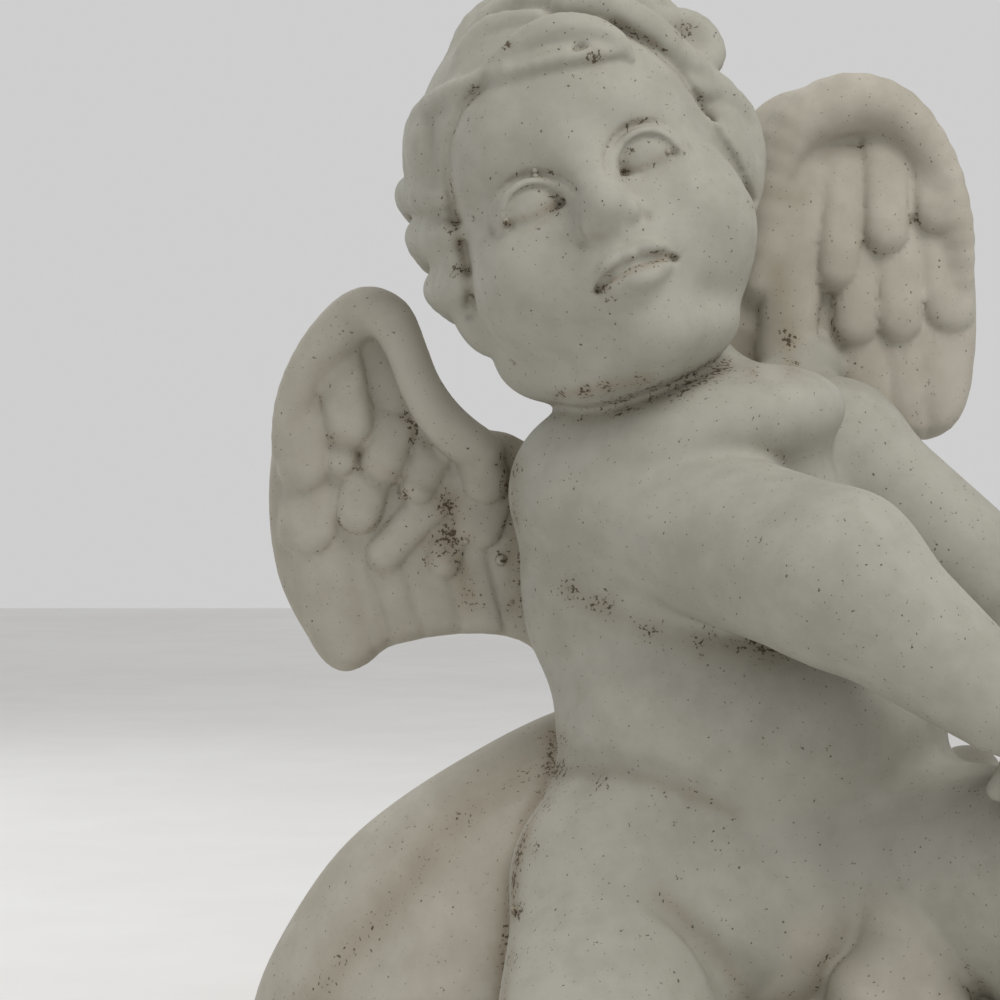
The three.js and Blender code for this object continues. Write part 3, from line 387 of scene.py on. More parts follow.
def hand(p, wrist, along, back, side):
    d0 = unit(along)
    n = unit(back)
    n = unit(n - (n @ d0) * d0)
    s = np.cross(d0, n) * side
    w = np.array(wrist, np.float64)

    def shape(q):
        palm = egg(q, w + d0 * 11, (9.5, 13, 6.5), np.stack([s, d0, n], 1).astype(np.float32))
        for i in range(4):
            root = w + d0 * 19 + s * (-7.2 + 4.8 * i)
            fan = s * (-0.12 + 0.08 * i)
            k1 = root + (d0 * 0.92 + fan - n * 0.35) * 8.5
            k2 = k1 + (d0 * 0.45 + fan - n * 0.85) * (7.5 - abs(i - 1.4))
            palm = blend(palm, chain(q, [root, k1, k2], [3.6, 3.3, 2.8], 0.5), 1.2)
        t0 = w + d0 * 5 + s * -8.5
        t1 = t0 + (d0 * 0.6 - s * 0.75 - n * 0.2) * 8
        t2 = t1 + (d0 * 0.85 - s * 0.2 - n * 0.4) * 7
        return blend(palm, chain(q, [t0, t1, t2], [4.2, 3.7, 3.0], 0.5), 1.8)

    return near(p, w + d0 * 15, 42, shape)


def legs(p):
    hipR, kneeR, ankR = (-21, -2, 116), (-40, -58, 78), (-37, -60, 26)
    right = limb(p, hipR, kneeR, 34, 23)
    right = blend(right, ball(p, (-40, -63, 76), 21), 6)
    right = blend(right, limb(p, (-39, -60, 72), ankR, 19.5, 12.5), 5)
    right = blend(right, ball(p, (-38, -54, 54), 17), 8)
    right = blend(right, foot(p, (-37, -58, 22), (-0.12, -1, -0.05)), 4)
    # top of the thigh under the belly
    right = blend(right, egg(p, (-27, -19, 117), (30, 23, 25)), 6)
    hipL, kneeL, ankL = (30, -2, 112), (68, -52, 122), (76, -50, 68)
    left = limb(p, hipL, kneeL, 34, 23)
    left = blend(left, limb(p, (69, -54, 118), ankL, 19, 12), 5)
    left = blend(left, ball(p, (72, -46, 98), 16), 8)
    left = blend(left, foot(p, (76, -48, 64), (0.05, -1, -0.08)), 4)
    return right, left


# soft folds of flesh: (x, y, z, r) along each
fleshFolds = [
    [(-48, -9, 143, 1.4), (-44, -20, 144, 2.0), (-36, -31, 143, 2.8), (-24, -40, 140.5, 3.1),
     (-10, -44.5, 135.5, 3.1), (1, -47, 128, 2.8), (8, -48.5, 119, 2.0), (11, -49, 110, 1.0)],
    [(-26, -51, 118, 1.5), (-17, -50, 110, 2.6), (-10, -49, 102, 3.6), (-5, -49, 96, 4.2), (-2, -48, 91, 4.3),
     (0, -46, 82, 3.6)],
]


def folded(d, p):
    for line in fleshFolds:
        c = curve(line, 3)
        d = carve(d, near(p, c[len(c) // 2, :3], 74, lambda s: chain(s, c[:, :3], c[:, 3])), 5)
    return d


def foot(p, heel, along):
    d0 = unit(along)
    up = np.array([0, 0, 1.0])
    s = np.cross(d0, up)
    h = np.array(heel, np.float64)

    def shape(q):
        sole = h + (0, 0, -1)
        f = blend(ball(q, sole, 11), limb(q, sole, h + d0 * 22 + (0, 0, -4), 10.5, 8.5), 4)
        for i in range(5):
            r = (4.4, 3.6, 3.4, 3.2, 3.0)[i]
            tip = h + d0 * (31 - 1.6 * i) + s * (-9 + 4.6 * i) + np.array([0, 0, -8.0])
            f = blend(f, limb(q, h + d0 * 20 + s * (-6 + 3.2 * i) + np.array([0, 0, -6.0]), tip, r, r), 1.5)
        return f

    return near(p, h + d0 * 14, 48, shape)


# Cloth over the lap
def swag(p):
    x, y, z = p[:, 0], p[:, 1], p[:, 2]
    band = chain(p, [(60, 8, 138), (50, -24, 124), (37, -40, 108), (28, -47, 92)], [8, 10, 12, 12], 6)
    band = (band - 1.0 * np.sin((x * 0.7 + z * 0.7) / 3.0)) * 0.85
    hang = block(p, (16, -30, 52), (36, 28, 46), 16)
    hang = (hang - 2.4 * np.sin(x / 5.2 + 0.7 * np.sin(z / 20))) * 0.8
    top = (z - (84 + 0.55 * (x - 4))) * 0.87
    return blend(band, carve(hang, -top, 8), 5)


# Drapery seat
mound = {"axis": (-20, 20), "front": 0.52, "back": 0.64, "right": 0.92, "top": 157}
moundProfile = [(0, 90), (18, 97), (40, 101), (62, 102), (82, 99), (100, 91), (117, 80), (130, 66), (143, 46),
                (152, 28), (158, 8)]
# folds: azimuth at the hem, azimuth at the waist, width (degrees), height (mm)
mainFolds = [
    (-90, -70, 13, 3.5), (-67, -60, 8, 2.5), (-60, -42, 9, -5.0), (-38, -28, 7, 3.5), (-22, -26, 5, -3.0),
    (-112, -96, 9, -4), (-128, -118, 11, 4), (-146, -138, 9, -4.5), (-162, -158, 11, 4), (178, 180, 9, -4.5),
    (160, 162, 12, 4.5), (140, 140, 9, -4.5), (122, 118, 11, 4), (104, 100, 8, -4), (88, 84, 9, 3.5),
    (70, 62, 8, -3.5), (52, 44, 8, 3),
]


moundLine = curve([(z, 0, 0, r) for z, r in moundProfile], 5)


def profileAt(z):
    return np.interp(z, moundLine[:, 0], moundLine[:, 3]).astype(np.float32)


def cloth(p):
    x, y, z = p[:, 0] - mound["axis"][0], p[:, 1] - mound["axis"][1], p[:, 2]
    y = y / np.where(y > 0, mound["back"], mound["front"])
    x = x / np.where(x > 0, mound["right"], 1.0)
    az = np.degrees(np.arctan2(x, -y))
    r = np.hypot(x, y)
    h = np.clip((mound["top"] - z) / 80, 0, 1)
    fold = np.zeros(len(p), np.float32)
    for hem, waist, wide, high in mainFolds:
        centre = waist + (hem - waist) * h + 2.0 * np.sin(z / 17 + hem)
        off = (az - centre + 180) % 360 - 180
        fold += high * np.exp(-(off / wide) ** 2)
    d = (r - profileAt(z) - fold * h ** 0.7) * 0.75
    d = np.maximum(d, z - mound["top"])
    # the cloth under the legs
    lower = egg(p, (16, -12, 52), (84, 52, 44))
    sx = p[:, 0] / 9.5 + 0.8 * np.sin(p[:, 2] / 22)
    lower = (lower - 2.0 * np.sin(sx + 0.6 * np.sin(p[:, 1] / 15))) * 0.85
    d = blend(d, lower, 10)
    d = blend(d, egg(p, (60, -18, 78), (24, 24, 24)), 8)
    return np.maximum(d, 12 - z)


def base(p):
    q = p - vec(0, -3, 0)
    a = np.sqrt((q[:, 0] / 122) ** 2 + (q[:, 1] / 91) ** 2)
    side = (a - 1) * 91 + 4
    top = q[:, 2] - 16 + 4
    d = np.sqrt(np.maximum(side, 0) ** 2 + np.maximum(top, 0) ** 2) - 4 + np.minimum(np.maximum(side, top), 0)
    return np.maximum(d, -q[:, 2])


def block(p, c, half, r):
    q = np.abs(p - vec(*c)) - (vec(*half) - r)
    return np.linalg.norm(np.maximum(q, 0), axis=1) + np.minimum(q.max(axis=1), 0) - r


def ledge(p):
    q = (p - vec(74, -46, 0)) @ turned(x=4, y=-3, z=18)
    d = block(q, (0, 0, 20), (21, 20, 28), 9)
    d = blend(d, block(q, (-14, 8, 10), (24, 22, 18), 8), 5)
    d = blend(d, block(q, (6, 14, 14), (19, 20, 20), 8), 5)
    return np.maximum(d, -p[:, 2])


# Wings
def outline2d(x, z, pts):
    pts = np.array(pts, np.float32)
    d = np.full(len(x), 1e9, np.float32)
    inside = np.zeros(len(x), bool)
    n = len(pts)
    for i in range(n):
        (x0, z0), (x1, z1) = pts[i - 1], pts[i]
        ex, ez = x1 - x0, z1 - z0
        wx, wz = x - x0, z - z0
        t = np.clip((wx * ex + wz * ez) / (ex * ex + ez * ez), 0, 1)
        d = np.minimum(d, (wx - ex * t) ** 2 + (wz - ez * t) ** 2)
        cross = ((z0 <= z) & (z < z1)) | ((z1 <= z) & (z < z0))
        if abs(ez) > 1e-9:
            inside ^= cross & (x < x0 + ex * (z - z0) / ez)
    d = np.sqrt(d)
    return np.where(inside, -d, d)


def smoothLoop(points, steps=4):
    pts = np.array(points, np.float64)
    out = []
    n = len(pts)
    for i in range(n):
        corners = pts[i - 1], pts[i], pts[(i + 1) % n], pts[(i + 2) % n]
        out.extend(between(*corners, s / steps) for s in range(steps))
    return np.array(out)


def feather(x, z, root, tip, wide, high):
    ax, az = tip[0] - root[0], tip[1] - root[1]
    length = math.hypot(ax, az)
    ax, az = ax / length, az / length
    u = ((x - root[0]) * ax + (z - root[1]) * az) / length
    s = ((x - root[0]) * -az + (z - root[1]) * ax) / wide
    cap = 1 - wide / length
    over = np.maximum((u - cap) / (1 - cap), 0)
    m = np.sqrt(s * s + over * over)
    puff = np.sqrt(np.clip(1 - m ** 2.6, 0, 1))
    fade = np.clip(u + 0.35, 0, 1) ** 0.8
    return np.where((m < 1) & (u > -0.35), high * fade * puff, 0.0)


# photo px to the wing's own plane, in mm
def px(u, w, k=0.262):
    return (-60 + (u - 500) * k, 207.5 - (w - 500) * k)


def wing(p, w):
    def shape(q):
        x, y, z = q[:, 0], q[:, 1], q[:, 2]
        edge = outline2d(x, z, w["loop"])
        relief = np.zeros(len(x), np.float32)
        for f in w["scales"]:
            relief = np.maximum(relief, feather(x, z, *f))
        mid = wingMid(w, x, z)
        front = mid - y - w["thick"][0] - relief
        behind = y - mid - w["thick"][1] - 0.9 * np.sin((w["side"] * x * 0.5 + z * 0.3) * 0.75)
        slab = -blend(-front, -behind, 1.5)
        a, b = edge + 3.5, slab + 3.5
        d = np.sqrt(np.maximum(a, 0) ** 2 + np.maximum(b, 0) ** 2) + np.minimum(np.maximum(a, b), 0) - 3.5
        d = d * 0.85
        c = w["ridgeLine"]
        return blend(d, chain(q, c[:, :3], c[:, 3], 1), 2.5)

    return near(p, w["centre"], w["reach"], shape)


def wingMid(w, x, z):
    out = np.clip(w["side"] * (x - w["rootX"]) / 60, 0, 1.2)
    return w["rootY"] + w["sweep"] * out * out + w["cup"] * ((z - w["centre"][2]) / 50) ** 2


def built(w):
    k = w["scale"]
    w["loop"] = smoothLoop([px(*a, k) for a in w["outline"]], 3)
    w["scales"] = [(px(*r, k), px(*t, k), wide * k, high) for r, t, wide, high in w["feathers"]]
    line = []
    for u, t, r, lift in w["ridge"]:
        x, z = px(u, t, k)
        line.append((x, float(wingMid(w, np.float64(x), z)) - w["thick"][0] - lift + r, z, r))
    w["ridgeLine"] = curve(line, 3)
    return w


nearWing = built({
    "scale": 0.259, "side": -1, "rootX": -55, "rootY": 15, "sweep": 9, "cup": 3, "thick": (4, 5),
    "centre": (-92, 18, 206), "reach": 74,
    "outline": [(530, 445), (505, 433), (475, 429), (450, 412), (433, 385), (420, 350), (407, 315),
                (392, 296), (370, 290), (347, 298), (325, 318), (303, 348), (286, 385), (274, 430),
                (268, 480), (269, 530), (277, 575), (290, 607), (308, 638), (326, 662), (346, 671),
                (368, 663), (388, 647), (420, 638), (455, 633), (495, 633), (530, 645), (560, 680),
                (600, 660), (600, 480)],
    "feathers": [
        # primaries: root, tip, half width, height
        ((318, 520), (350, 676), 33, 3.6),
        ((352, 530), (378, 650), 14, 2.2),
        ((376, 530), (412, 645), 19, 3.0),
        ((412, 530), (448, 640), 22, 2.6),
        ((460, 540), (486, 645), 22, 2.0),
        # lower coverts
        ((318, 482), (302, 557), 32, 6.2),
        ((368, 476), (355, 534), 25, 7.4),
        ((436, 500), (373, 568), 20, 6.2),
        ((450, 536), (441, 579), 19, 4.8),
        # middle row
        ((318, 418), (299, 494), 28, 7.6),
        ((342, 438), (344, 480), 18, 6.6),
        ((392, 432), (380, 486), 24, 8.4),
        ((430, 462), (413, 506), 20, 6.6),
        ((476, 440), (492, 505), 24, 5.4),
        ((486, 500), (470, 548), 26, 3.6),
        # top row
        ((340, 372), (357, 452), 26, 9.0),
    ],
    "ridge": [(484, 453, 5.2, 8), (460, 438, 5.6, 9), (438, 415, 5.4, 9.5), (420, 384, 5.0, 9.5),
              (407, 350, 5.0, 9.5), (391, 322, 5.8, 9.5), (366, 314, 6.2, 9.0), (340, 334, 6.4, 8.5),
              (314, 368, 6.0, 7.5), (295, 408, 5.0, 6), (286, 450, 3.6, 4)],
})

farWing = built({
    "scale": 0.268, "side": 1, "rootX": 6, "rootY": 30, "sweep": 12, "cup": 3, "thick": (4, 5),
    "centre": (25, 34, 262), "reach": 80,
    "outline": [(722, 470), (708, 400), (705, 300), (720, 200), (742, 130), (768, 104), (800, 94),
                (845, 87), (890, 94), (925, 122), (950, 170), (968, 235), (975, 305), (972, 370),
                (955, 420), (925, 440), (890, 436), (850, 445), (810, 470)],
    "feathers": [
        ((930, 300), (948, 444), 32, 3.6),
        ((892, 300), (908, 444), 22, 3.0),
        ((852, 300), (868, 450), 24, 2.8),
        ((935, 225), (946, 338), 30, 5.5),
        ((890, 235), (890, 348), 26, 5.8),
        ((850, 240), (846, 352), 24, 5.2),
        ((925, 150), (932, 242), 27, 7.5),
        ((880, 160), (874, 264), 26, 7.5),
        ((838, 190), (824, 300), 24, 6.5),
        ((792, 200), (775, 384), 30, 6.0),
    ],
    "ridge": [(752, 290, 5.0, 5), (762, 195, 5.5, 6), (788, 138, 7, 8), (838, 113, 8, 9.5),
              (888, 122, 7, 9.5), (926, 168, 6, 9), (946, 225, 5, 8), (954, 280, 3.6, 6)],
})


# the skin alone
def bare(p):
    armR, armL = arms(p)
    legR, legL = legs(p)
    d = blend(torso(p), legR, 7)
    d = folded(blend(d, legL, 7), p)
    d = blend(d, armR, 4)
    d = blend(d, armL, 4)
    return blend(d, near(p, head["centre"], 74, headShape), 2.0)


def seat(p):
    c = blend(cloth(p), near(p, (74, -40, 22), 78, ledge), 5)
    return blend(c, base(p), 3)


# cloth, wings and base alone
def covered(p):
    c = np.minimum(seat(p), near(p, (26, -24, 74), 104, swag))
    return np.minimum(c, np.minimum(wing(p, nearWing), wing(p, farWing)))


# the whole figure
def putto(p):
    d = torso(p)
    armR, armL = arms(p)
    legR, legL = legs(p)
    d = blend(d, legR, 7)
    d = blend(d, egg(p, (6, -22, 110), (27, 25, 30)), 8)
    d = folded(blend(d, legL, 7), p)
    d = blend(d, armR, 4)
    d = blend(d, armL, 4)
    d = blend(d, wing(p, nearWing), 3)
    d = blend(d, wing(p, farWing), 3)
    d = blend(d, near(p, head["centre"], 74, headShape), 2.0)
    d = blend(d, near(p, (26, -24, 74), 104, swag), 2.5)
    return blend(d, seat(p), 1.6)


# Surface: a grid with finer lines over the face, then a settled and reduced mesh
gridSpans = {
    "x": [(-128, 1.4), (-112, 1.0), (-66, 0.8), (-2, 1.0), (8, 1.4), (130, 0)],
    "y": [(-100, 1.5), (-72, 1.0), (-60, 0.8), (-30, 1.1), (-12, 1.4), (92, 0)],
    "z": [(-4, 1.9), (110, 1.5), (160, 1.15), (225, 0.95), (250, 0.75), (318, 1.0), (346, 0)],
}
gridBlock = 6
gridSlack = 5.0
threads = 4


def gridLines(spans, fineness):
    out = []
    for (start, step), (end, _) in zip(spans, spans[1:]):
        n = max(1, round((end - start) / (step * fineness)))
        out.extend(start + (end - start) * i / n for i in range(n))
    extra = (-len(out)) % gridBlock
    step = out[-1] - out[-2]
    out.extend(out[-1] + step * (i + 1) for i in range(extra))
    return np.array(out, np.float32)


# distances on the grid, worked out one by one only in the blocks that the surface may cross
def sampleField(shape, lines):
    n = [len(a) // gridBlock for a in lines]
    mids = [a.reshape(-1, gridBlock).mean(1) for a in lines]
    halves = [np.ptp(a.reshape(-1, gridBlock), axis=1) / 2 for a in lines]
    centres = np.stack(np.meshgrid(*mids, indexing="ij"), -1).reshape(-1, 3).astype(np.float32)
    reach = np.sqrt(sum(h ** 2 for h in np.meshgrid(*halves, indexing="ij")))
    blocks = [a.reshape(-1, gridBlock) for a in lines]
    with ThreadPoolExecutor(threads) as pool:
        coarse = np.concatenate(list(pool.map(shape, np.array_split(centres, 16)))).reshape(n)
        out = coarse
        for axis in range(3):
            out = np.repeat(out, gridBlock, axis)
        out = np.ascontiguousarray(out, np.float32)
        cells = out.reshape(n[0], gridBlock, n[1], gridBlock, n[2], gridBlock).transpose(0, 2, 4, 1, 3, 5)
        crossed = np.argwhere(np.abs(coarse) < reach * 1.15 + gridSlack)
        crossed = crossed[np.lexsort((crossed[:, 1], crossed[:, 0], crossed[:, 2]))]

        def work(part):
            p = np.empty((len(part), gridBlock, gridBlock, gridBlock, 3), np.float32)
            p[..., 0] = blocks[0][part[:, 0]][:, :, None, None]
            p[..., 1] = blocks[1][part[:, 1]][:, None, :, None]
            p[..., 2] = blocks[2][part[:, 2]][:, None, None, :]
            return part, shape(p.reshape(-1, 3)).reshape(-1, gridBlock, gridBlock, gridBlock)

        for part, values in pool.map(work, np.array_split(crossed, max(1, len(crossed) // 300))):
            cells[part[:, 0], part[:, 1], part[:, 2]] = values
    return out


def slopeAt(p, d, e):
    return np.stack([putto(p + vec(*o) * e) - d for o in np.eye(3)], 1) / e


# moves points along the slope of the field onto the surface
def settled(p):
    d = putto(p)
    slope = slopeAt(p, d, statue["settleStep"])
    steep = (slope * slope).sum(1)
    move = np.clip(d / np.maximum(steep, 0.3), -statue["settleLimit"], statue["settleLimit"])
    move = np.where(steep > 2.2, 0, move)
    return p - slope * move[:, None]


def spread(work, p):
    with ThreadPoolExecutor(threads) as pool:
        return np.concatenate(list(pool.map(work, np.array_split(p, 64))))


# keeps the one outer shell and drops closed pockets inside it
def outerShell(points, quads):
    label = np.arange(len(points))
    a = quads.ravel()
    b = np.roll(quads, 1, axis=1).ravel()
    while True:
        least = np.minimum(label[a], label[b])
        before = label.copy()
        np.minimum.at(label, a, least)
        np.minimum.at(label, b, least)
        label = label[label]
        if (label == before).all():
            break
    main = np.bincount(label).argmax()
    quads = quads[label[quads[:, 0]] == main]
    used = np.unique(quads)
    renumbered = np.zeros(len(points), np.int64)
    renumbered[used] = np.arange(len(used))
    return points[used], renumbered[quads]


def makeMesh(name, points, faces):
    mesh = bpy.data.meshes.new(name)
    size = faces.shape[1]
    mesh.vertices.add(len(points))
    mesh.vertices.foreach_set("co", points.astype(np.float32).ravel())
    mesh.loops.add(faces.size)
    mesh.loops.foreach_set("vertex_index", faces.astype(np.int32).ravel())
    mesh.polygons.add(len(faces))
    mesh.polygons.foreach_set("loop_start", np.arange(0, faces.size, size, dtype=np.int32))
    mesh.update(calc_edges=True)
    mesh.validate()
    return mesh


def reduced(obj, triangles):
    count = sum(len(p.vertices) - 2 for p in obj.data.polygons)
    modifier = obj.modifiers.new("reduce", "DECIMATE")
    modifier.ratio = min(1.0, triangles / count)
    modifier.use_collapse_triangulate = True
    graph = bpy.context.evaluated_depsgraph_get()
    mesh = bpy.data.meshes.new_from_object(obj.evaluated_get(graph))
    obj.modifiers.clear()
    obj.data = mesh
    return obj


def vertexArray(mesh, what="co"):
    out = np.empty(len(mesh.vertices) * 3, np.float32)
    if what == "co":
        mesh.vertices.foreach_get("co", out)
    else:
        mesh.vertex_normals.foreach_get("vector", out)
    return out.reshape(-1, 3)


# Small round casting blebs, placed where the photograph shows them: pixel across, pixel down, radius in mm
blebs = [
    (535, 170.5, 0.75), (535.6, 176.5, 0.85), (506, 220.5, 0.7), (667.6, 151.8, 0.75),
    (472.7, 218.6, 0.7), (471, 296.5, 0.7), (512.6, 361.7, 0.9), (501, 560, 1.5), (405, 495, 0.9),
    (466, 541, 0.9), (516, 910, 1.3), (684, 152, 0.5), (648, 383, 0.5), (571, 590, 0.6), (512, 602, 0.6),
]
blebRings = 10
blebSegments = 14


def photoRay(u, v):
    start = Vector((camera["x"], -camera["distance"], camera["z"]))
    k = camera["pixel"]
    target = Vector((camera["x"] + (u - 500) * k, 0.0, camera["z"] - (v - 500) * k))
    return start, (target - start).normalized()


def blebMesh(tree):
    points, faces = [], []
    for u, v, r in blebs:
        start, way = photoRay(u, v)
        hit = tree.ray_cast(start, way)[0]
        if hit is None:
            continue
        first = len(points)
        points.append(hit + Vector((0, 0, r)))
        for i in range(1, blebRings):
            a = math.pi * i / blebRings
            for j in range(blebSegments):
                b = 2 * math.pi * j / blebSegments
                out = Vector((math.sin(a) * math.cos(b), math.sin(a) * math.sin(b), math.cos(a)))
                points.append(hit + out * r)
        points.append(hit - Vector((0, 0, r)))
        ring = [[first + 1 + i * blebSegments + j for j in range(blebSegments)] for i in range(blebRings - 1)]
        last = len(points) - 1
        for j in range(blebSegments):
            k = (j + 1) % blebSegments
            faces.append((first, ring[0][j], ring[0][k]))
            faces.append((last, ring[-1][k], ring[-1][j]))
            for i in range(blebRings - 2):
                faces.append((ring[i][j], ring[i + 1][j], ring[i + 1][k]))
                faces.append((ring[i][j], ring[i + 1][k], ring[i][k]))
    return np.array([tuple(p) for p in points], np.float32), np.array(faces, np.int32)


# Dirt, and painted shade in creases and corners such as the mouth line, the eye corners and under the arm, at
# certain places: pixel across, pixel down, reach in pixels, strength
dirtAndShadeSpots = [
    (508, 45, 5, 1.0), (685, 30, 9, 0.8), (594, 57, 8, 0.9), (472, 90, 8, 0.6), (450, 228, 9, 0.7),
    (460, 240, 6, 0.7), (458, 270, 8, 0.7), (466, 268, 6, 0.7), (625, 172, 6, 1.0), (552, 208, 8, 0.7),
    (558, 200, 9, 0.5), (506, 224, 5, 1.0), (629, 152, 5, 0.7), (603, 289, 7, 0.8), (612, 300, 8, 0.4),
    (668, 256, 6, 0.6), (446, 506, 11, 1.0), (448, 538, 14, 1.0), (430, 560, 9, 0.6), (470, 600, 14, 0.5),
    (512, 470, 9, 0.6), (513, 520, 8, 0.6), (512, 560, 9, 0.8), (511, 600, 9, 0.6), (504, 560, 5, 0.9),
    (405, 495, 6, 0.9), (330, 440, 8, 0.5), (360, 470, 8, 0.5), (560, 396, 7, 0.7), (585, 392, 8, 0.8),
    (606, 387, 8, 0.8), (640, 380, 8, 0.5), (690, 370, 8, 0.3), (570, 590, 12, 0.6), (600, 605, 14, 0.6),
    (650, 628, 14, 0.5), (700, 640, 14, 0.4), (553, 740, 12, 0.7), (556, 770, 12, 0.9),
    (545, 800, 11, 0.6), (600, 780, 12, 0.5), (690, 792, 12, 0.4), (535, 850, 10, 0.6),
    (516, 912, 9, 1.0), (508, 960, 10, 0.6), (790, 340, 10, 0.8), (793, 365, 8, 0.6), (752, 372, 8, 0.4),
    (752, 208, 6, 0.4),
]


# soft brown stain along lines, and painted shade along the cloth's fold valleys and the creases of belly and
# thigh: pixels of the photograph, reach, strength
stainAndShadeLines = [
    ([(530, 772), (467, 809), (428, 854), (388, 907), (329, 977), (310, 1015)], 20, 0.6),
    ([(552, 735), (550, 775), (529, 815), (514, 870), (509, 910), (502, 987), (498, 1020)], 10, 0.9),
    ([(556, 770), (620, 772), (662, 784), (700, 798), (738, 816)], 9, 0.55),
    ([(660, 895), (692, 925), (716, 950), (748, 996), (760, 1030)], 10, 0.5),
    ([(446, 500), (452, 522), (448, 546), (462, 572), (466, 600)], 13, 0.7),
    ([(424, 542), (470, 536)], 8, 0.5), ([(513, 440), (513, 520), (512, 610)], 7, 0.6),
    ([(340, 436), (372, 462), (398, 478), (432, 492)], 6, 0.4),
    ([(452, 200), (458, 240), (467, 272), (470, 300)], 6, 0.5), ([(590, 234), (604, 238)], 5, 0.4),
    ([(598, 292), (625, 275), (670, 256)], 4, 0.5), ([(504, 223), (530, 216), (554, 206)], 4, 0.5),
    ([(623, 174), (650, 164), (669, 152)], 4, 0.4), ([(558, 396), (602, 388), (650, 379)], 7, 0.6),
    ([(566, 588), (610, 612), (650, 632), (700, 648), (770, 662)], 10, 0.35),
    ([(743, 320), (752, 372)], 8, 0.6), ([(778, 270), (790, 370)], 12, 0.5),
    ([(760, 190), (800, 200)], 9, 0.3),
]
# eyeballs kept free of the grime and painted shade
filmFreeSpots = [(530, 202, 15, 0.9), (648, 149, 14, 0.9)]


def lineGap(u, v, points):
    gap = np.full(len(u), 1e6)
    for (u0, v0), (u1, v1) in zip(points, points[1:]):
        du, dv = u1 - u0, v1 - v0
        t = np.clip(((u - u0) * du + (v - v0) * dv) / (du * du + dv * dv), 0, 1)
        gap = np.minimum(gap, np.hypot(u - u0 - t * du, v - v0 - t * dv))
    return gap


def blot(u, v, at, down, reach):
    return np.exp(-((u - at) ** 2 + (v - down) ** 2) / (reach * reach))


# painted shade and grime, darker where the air over the surface is closed in; warmth tells cloth, wings and
# base from skin
def surfaceMarks(mesh):
    p = vertexArray(mesh) * 1000 - vec(*statue["centring"])
    n = vertexArray(mesh, "normal")
    rate = np.clip(spread(putto, p + n * 0.4) / 0.4, 0.55, 1.1)
    # shut: how closed in the surface is, the mask for painted shade and grime in creases and hollows
    shut = np.zeros(len(p), np.float32)
    for reach, weight in ((1.5, 0.4), (3.5, 0.4), (8.0, 0.2)):
        shut += weight * np.clip(1 - spread(putto, p + n * reach) / (reach * rate), 0, 1)
    away = p - vec(camera["x"], -camera["distance"], camera["z"])
    s = camera["distance"] / (away[:, 1] * camera["pixel"])
    u, v = 500 + away[:, 0] * s, 500 - away[:, 2] * s
    facing = np.clip(-(n * away).sum(1) / np.linalg.norm(away, axis=1) * 4, 0, 1)
    spots = np.zeros(len(p), np.float32)
    for at, down, reach, strength in dirtAndShadeSpots:
        spots = np.maximum(spots, strength * blot(u, v, at, down, reach))
    stainAndShade = np.zeros(len(p), np.float32)
    # stain lines: real stain along the joins, and painted shade in the fold valleys and creases
    for points, reach, strength in stainAndShadeLines:
        stainAndShade = np.maximum(stainAndShade, strength * np.exp(-(lineGap(u, v, points) / reach) ** 2))
    seen = facing * (p[:, 1] < 40)
    spots *= seen
    stainAndShade *= seen
    for at, down, reach, strength in filmFreeSpots:
        shut *= 1 - strength * seen * blot(u, v, at, down, reach)
    skin = spread(bare, p)
    dressed = spread(covered, p)
    warm = np.clip(0.5 + (skin - dressed) / 3, 0, 1)
    for name, values in (("shut", shut), ("spots", spots), ("stainAndShade", stainAndShade), ("warm", warm)):
        mark = mesh.attributes.new(name, "FLOAT", "POINT")
        mark.data.foreach_set("value", values.astype(np.float32))


def makePutto(material):
    fineness = statue["fineness"]
    lines = [gridLines(gridSpans[a], fineness) for a in "xyz"]
    field = sampleField(putto, lines)
    print("sampled", field.shape)
    grid = openvdb.FloatGrid()
    grid.background = 10.0
    grid.copyFromArray(np.clip(field, -9, 9))
    index, quads = grid.convertToQuads(0.0)
    points = np.stack([np.interp(index[:, i], np.arange(len(lines[i])), lines[i]) for i in range(3)], 1)
    points, quads = outerShell(points.astype(np.float32), quads.astype(np.int64))
    points = spread(settled, points)
    points[:, 2] = np.where(points[:, 2] < statue["ground"], 0, points[:, 2])
    points = points + vec(*statue["centring"])
    print("surfaced", len(points), "points")
    obj = bpy.data.objects.new("puttoSurface", makeMesh("puttoSurface", points / 1000, quads))
    bpy.context.scene.collection.objects.link(obj)
    reduced(obj, statue["triangles"])
    low = vertexArray(obj.data)
    tree = BVHTree.FromPolygons(
        [Vector(p) for p in low * 1000 - vec(*statue["centring"])],
        [tuple(f.vertices) for f in obj.data.polygons])
    more, faces = blebMesh(tree)
    obj.data.calc_loop_triangles()
    tris = np.empty(len(obj.data.loop_triangles) * 3, np.int32)
    obj.data.loop_triangles.foreach_get("vertices", tris)
    more = (more + vec(*statue["centring"])) / 1000
    triangles = np.concatenate([tris.reshape(-1, 3), faces + len(low)])
    whole = makeMesh("putto", np.concatenate([low, more]), triangles)
    whole.polygons.foreach_set("use_smooth", [True] * len(whole.polygons))
    old = obj.data
    obj.data = whole
    bpy.data.meshes.remove(old)
    surfaceMarks(whole)
    whole.materials.append(material)
    print("putto", len(whole.polygons), "faces")
    return obj


# Node helpers
def feed(tree, socket, value):
    if isinstance(value, bpy.types.NodeSocket):
        tree.links.new(value, socket)
    else:
        socket.default_value = value


def node(tree, kind, settings=None, **inputs):
    out = tree.nodes.new(kind)
    for name, value in (settings or {}).items():
        setattr(out, name, value)
    for name, value in inputs.items():
        numbered = name[0] == "i" and name[1:].isdigit()
        feed(tree, out.inputs[int(name[1:]) if numbered else name.replace("_", " ")], value)
    return out


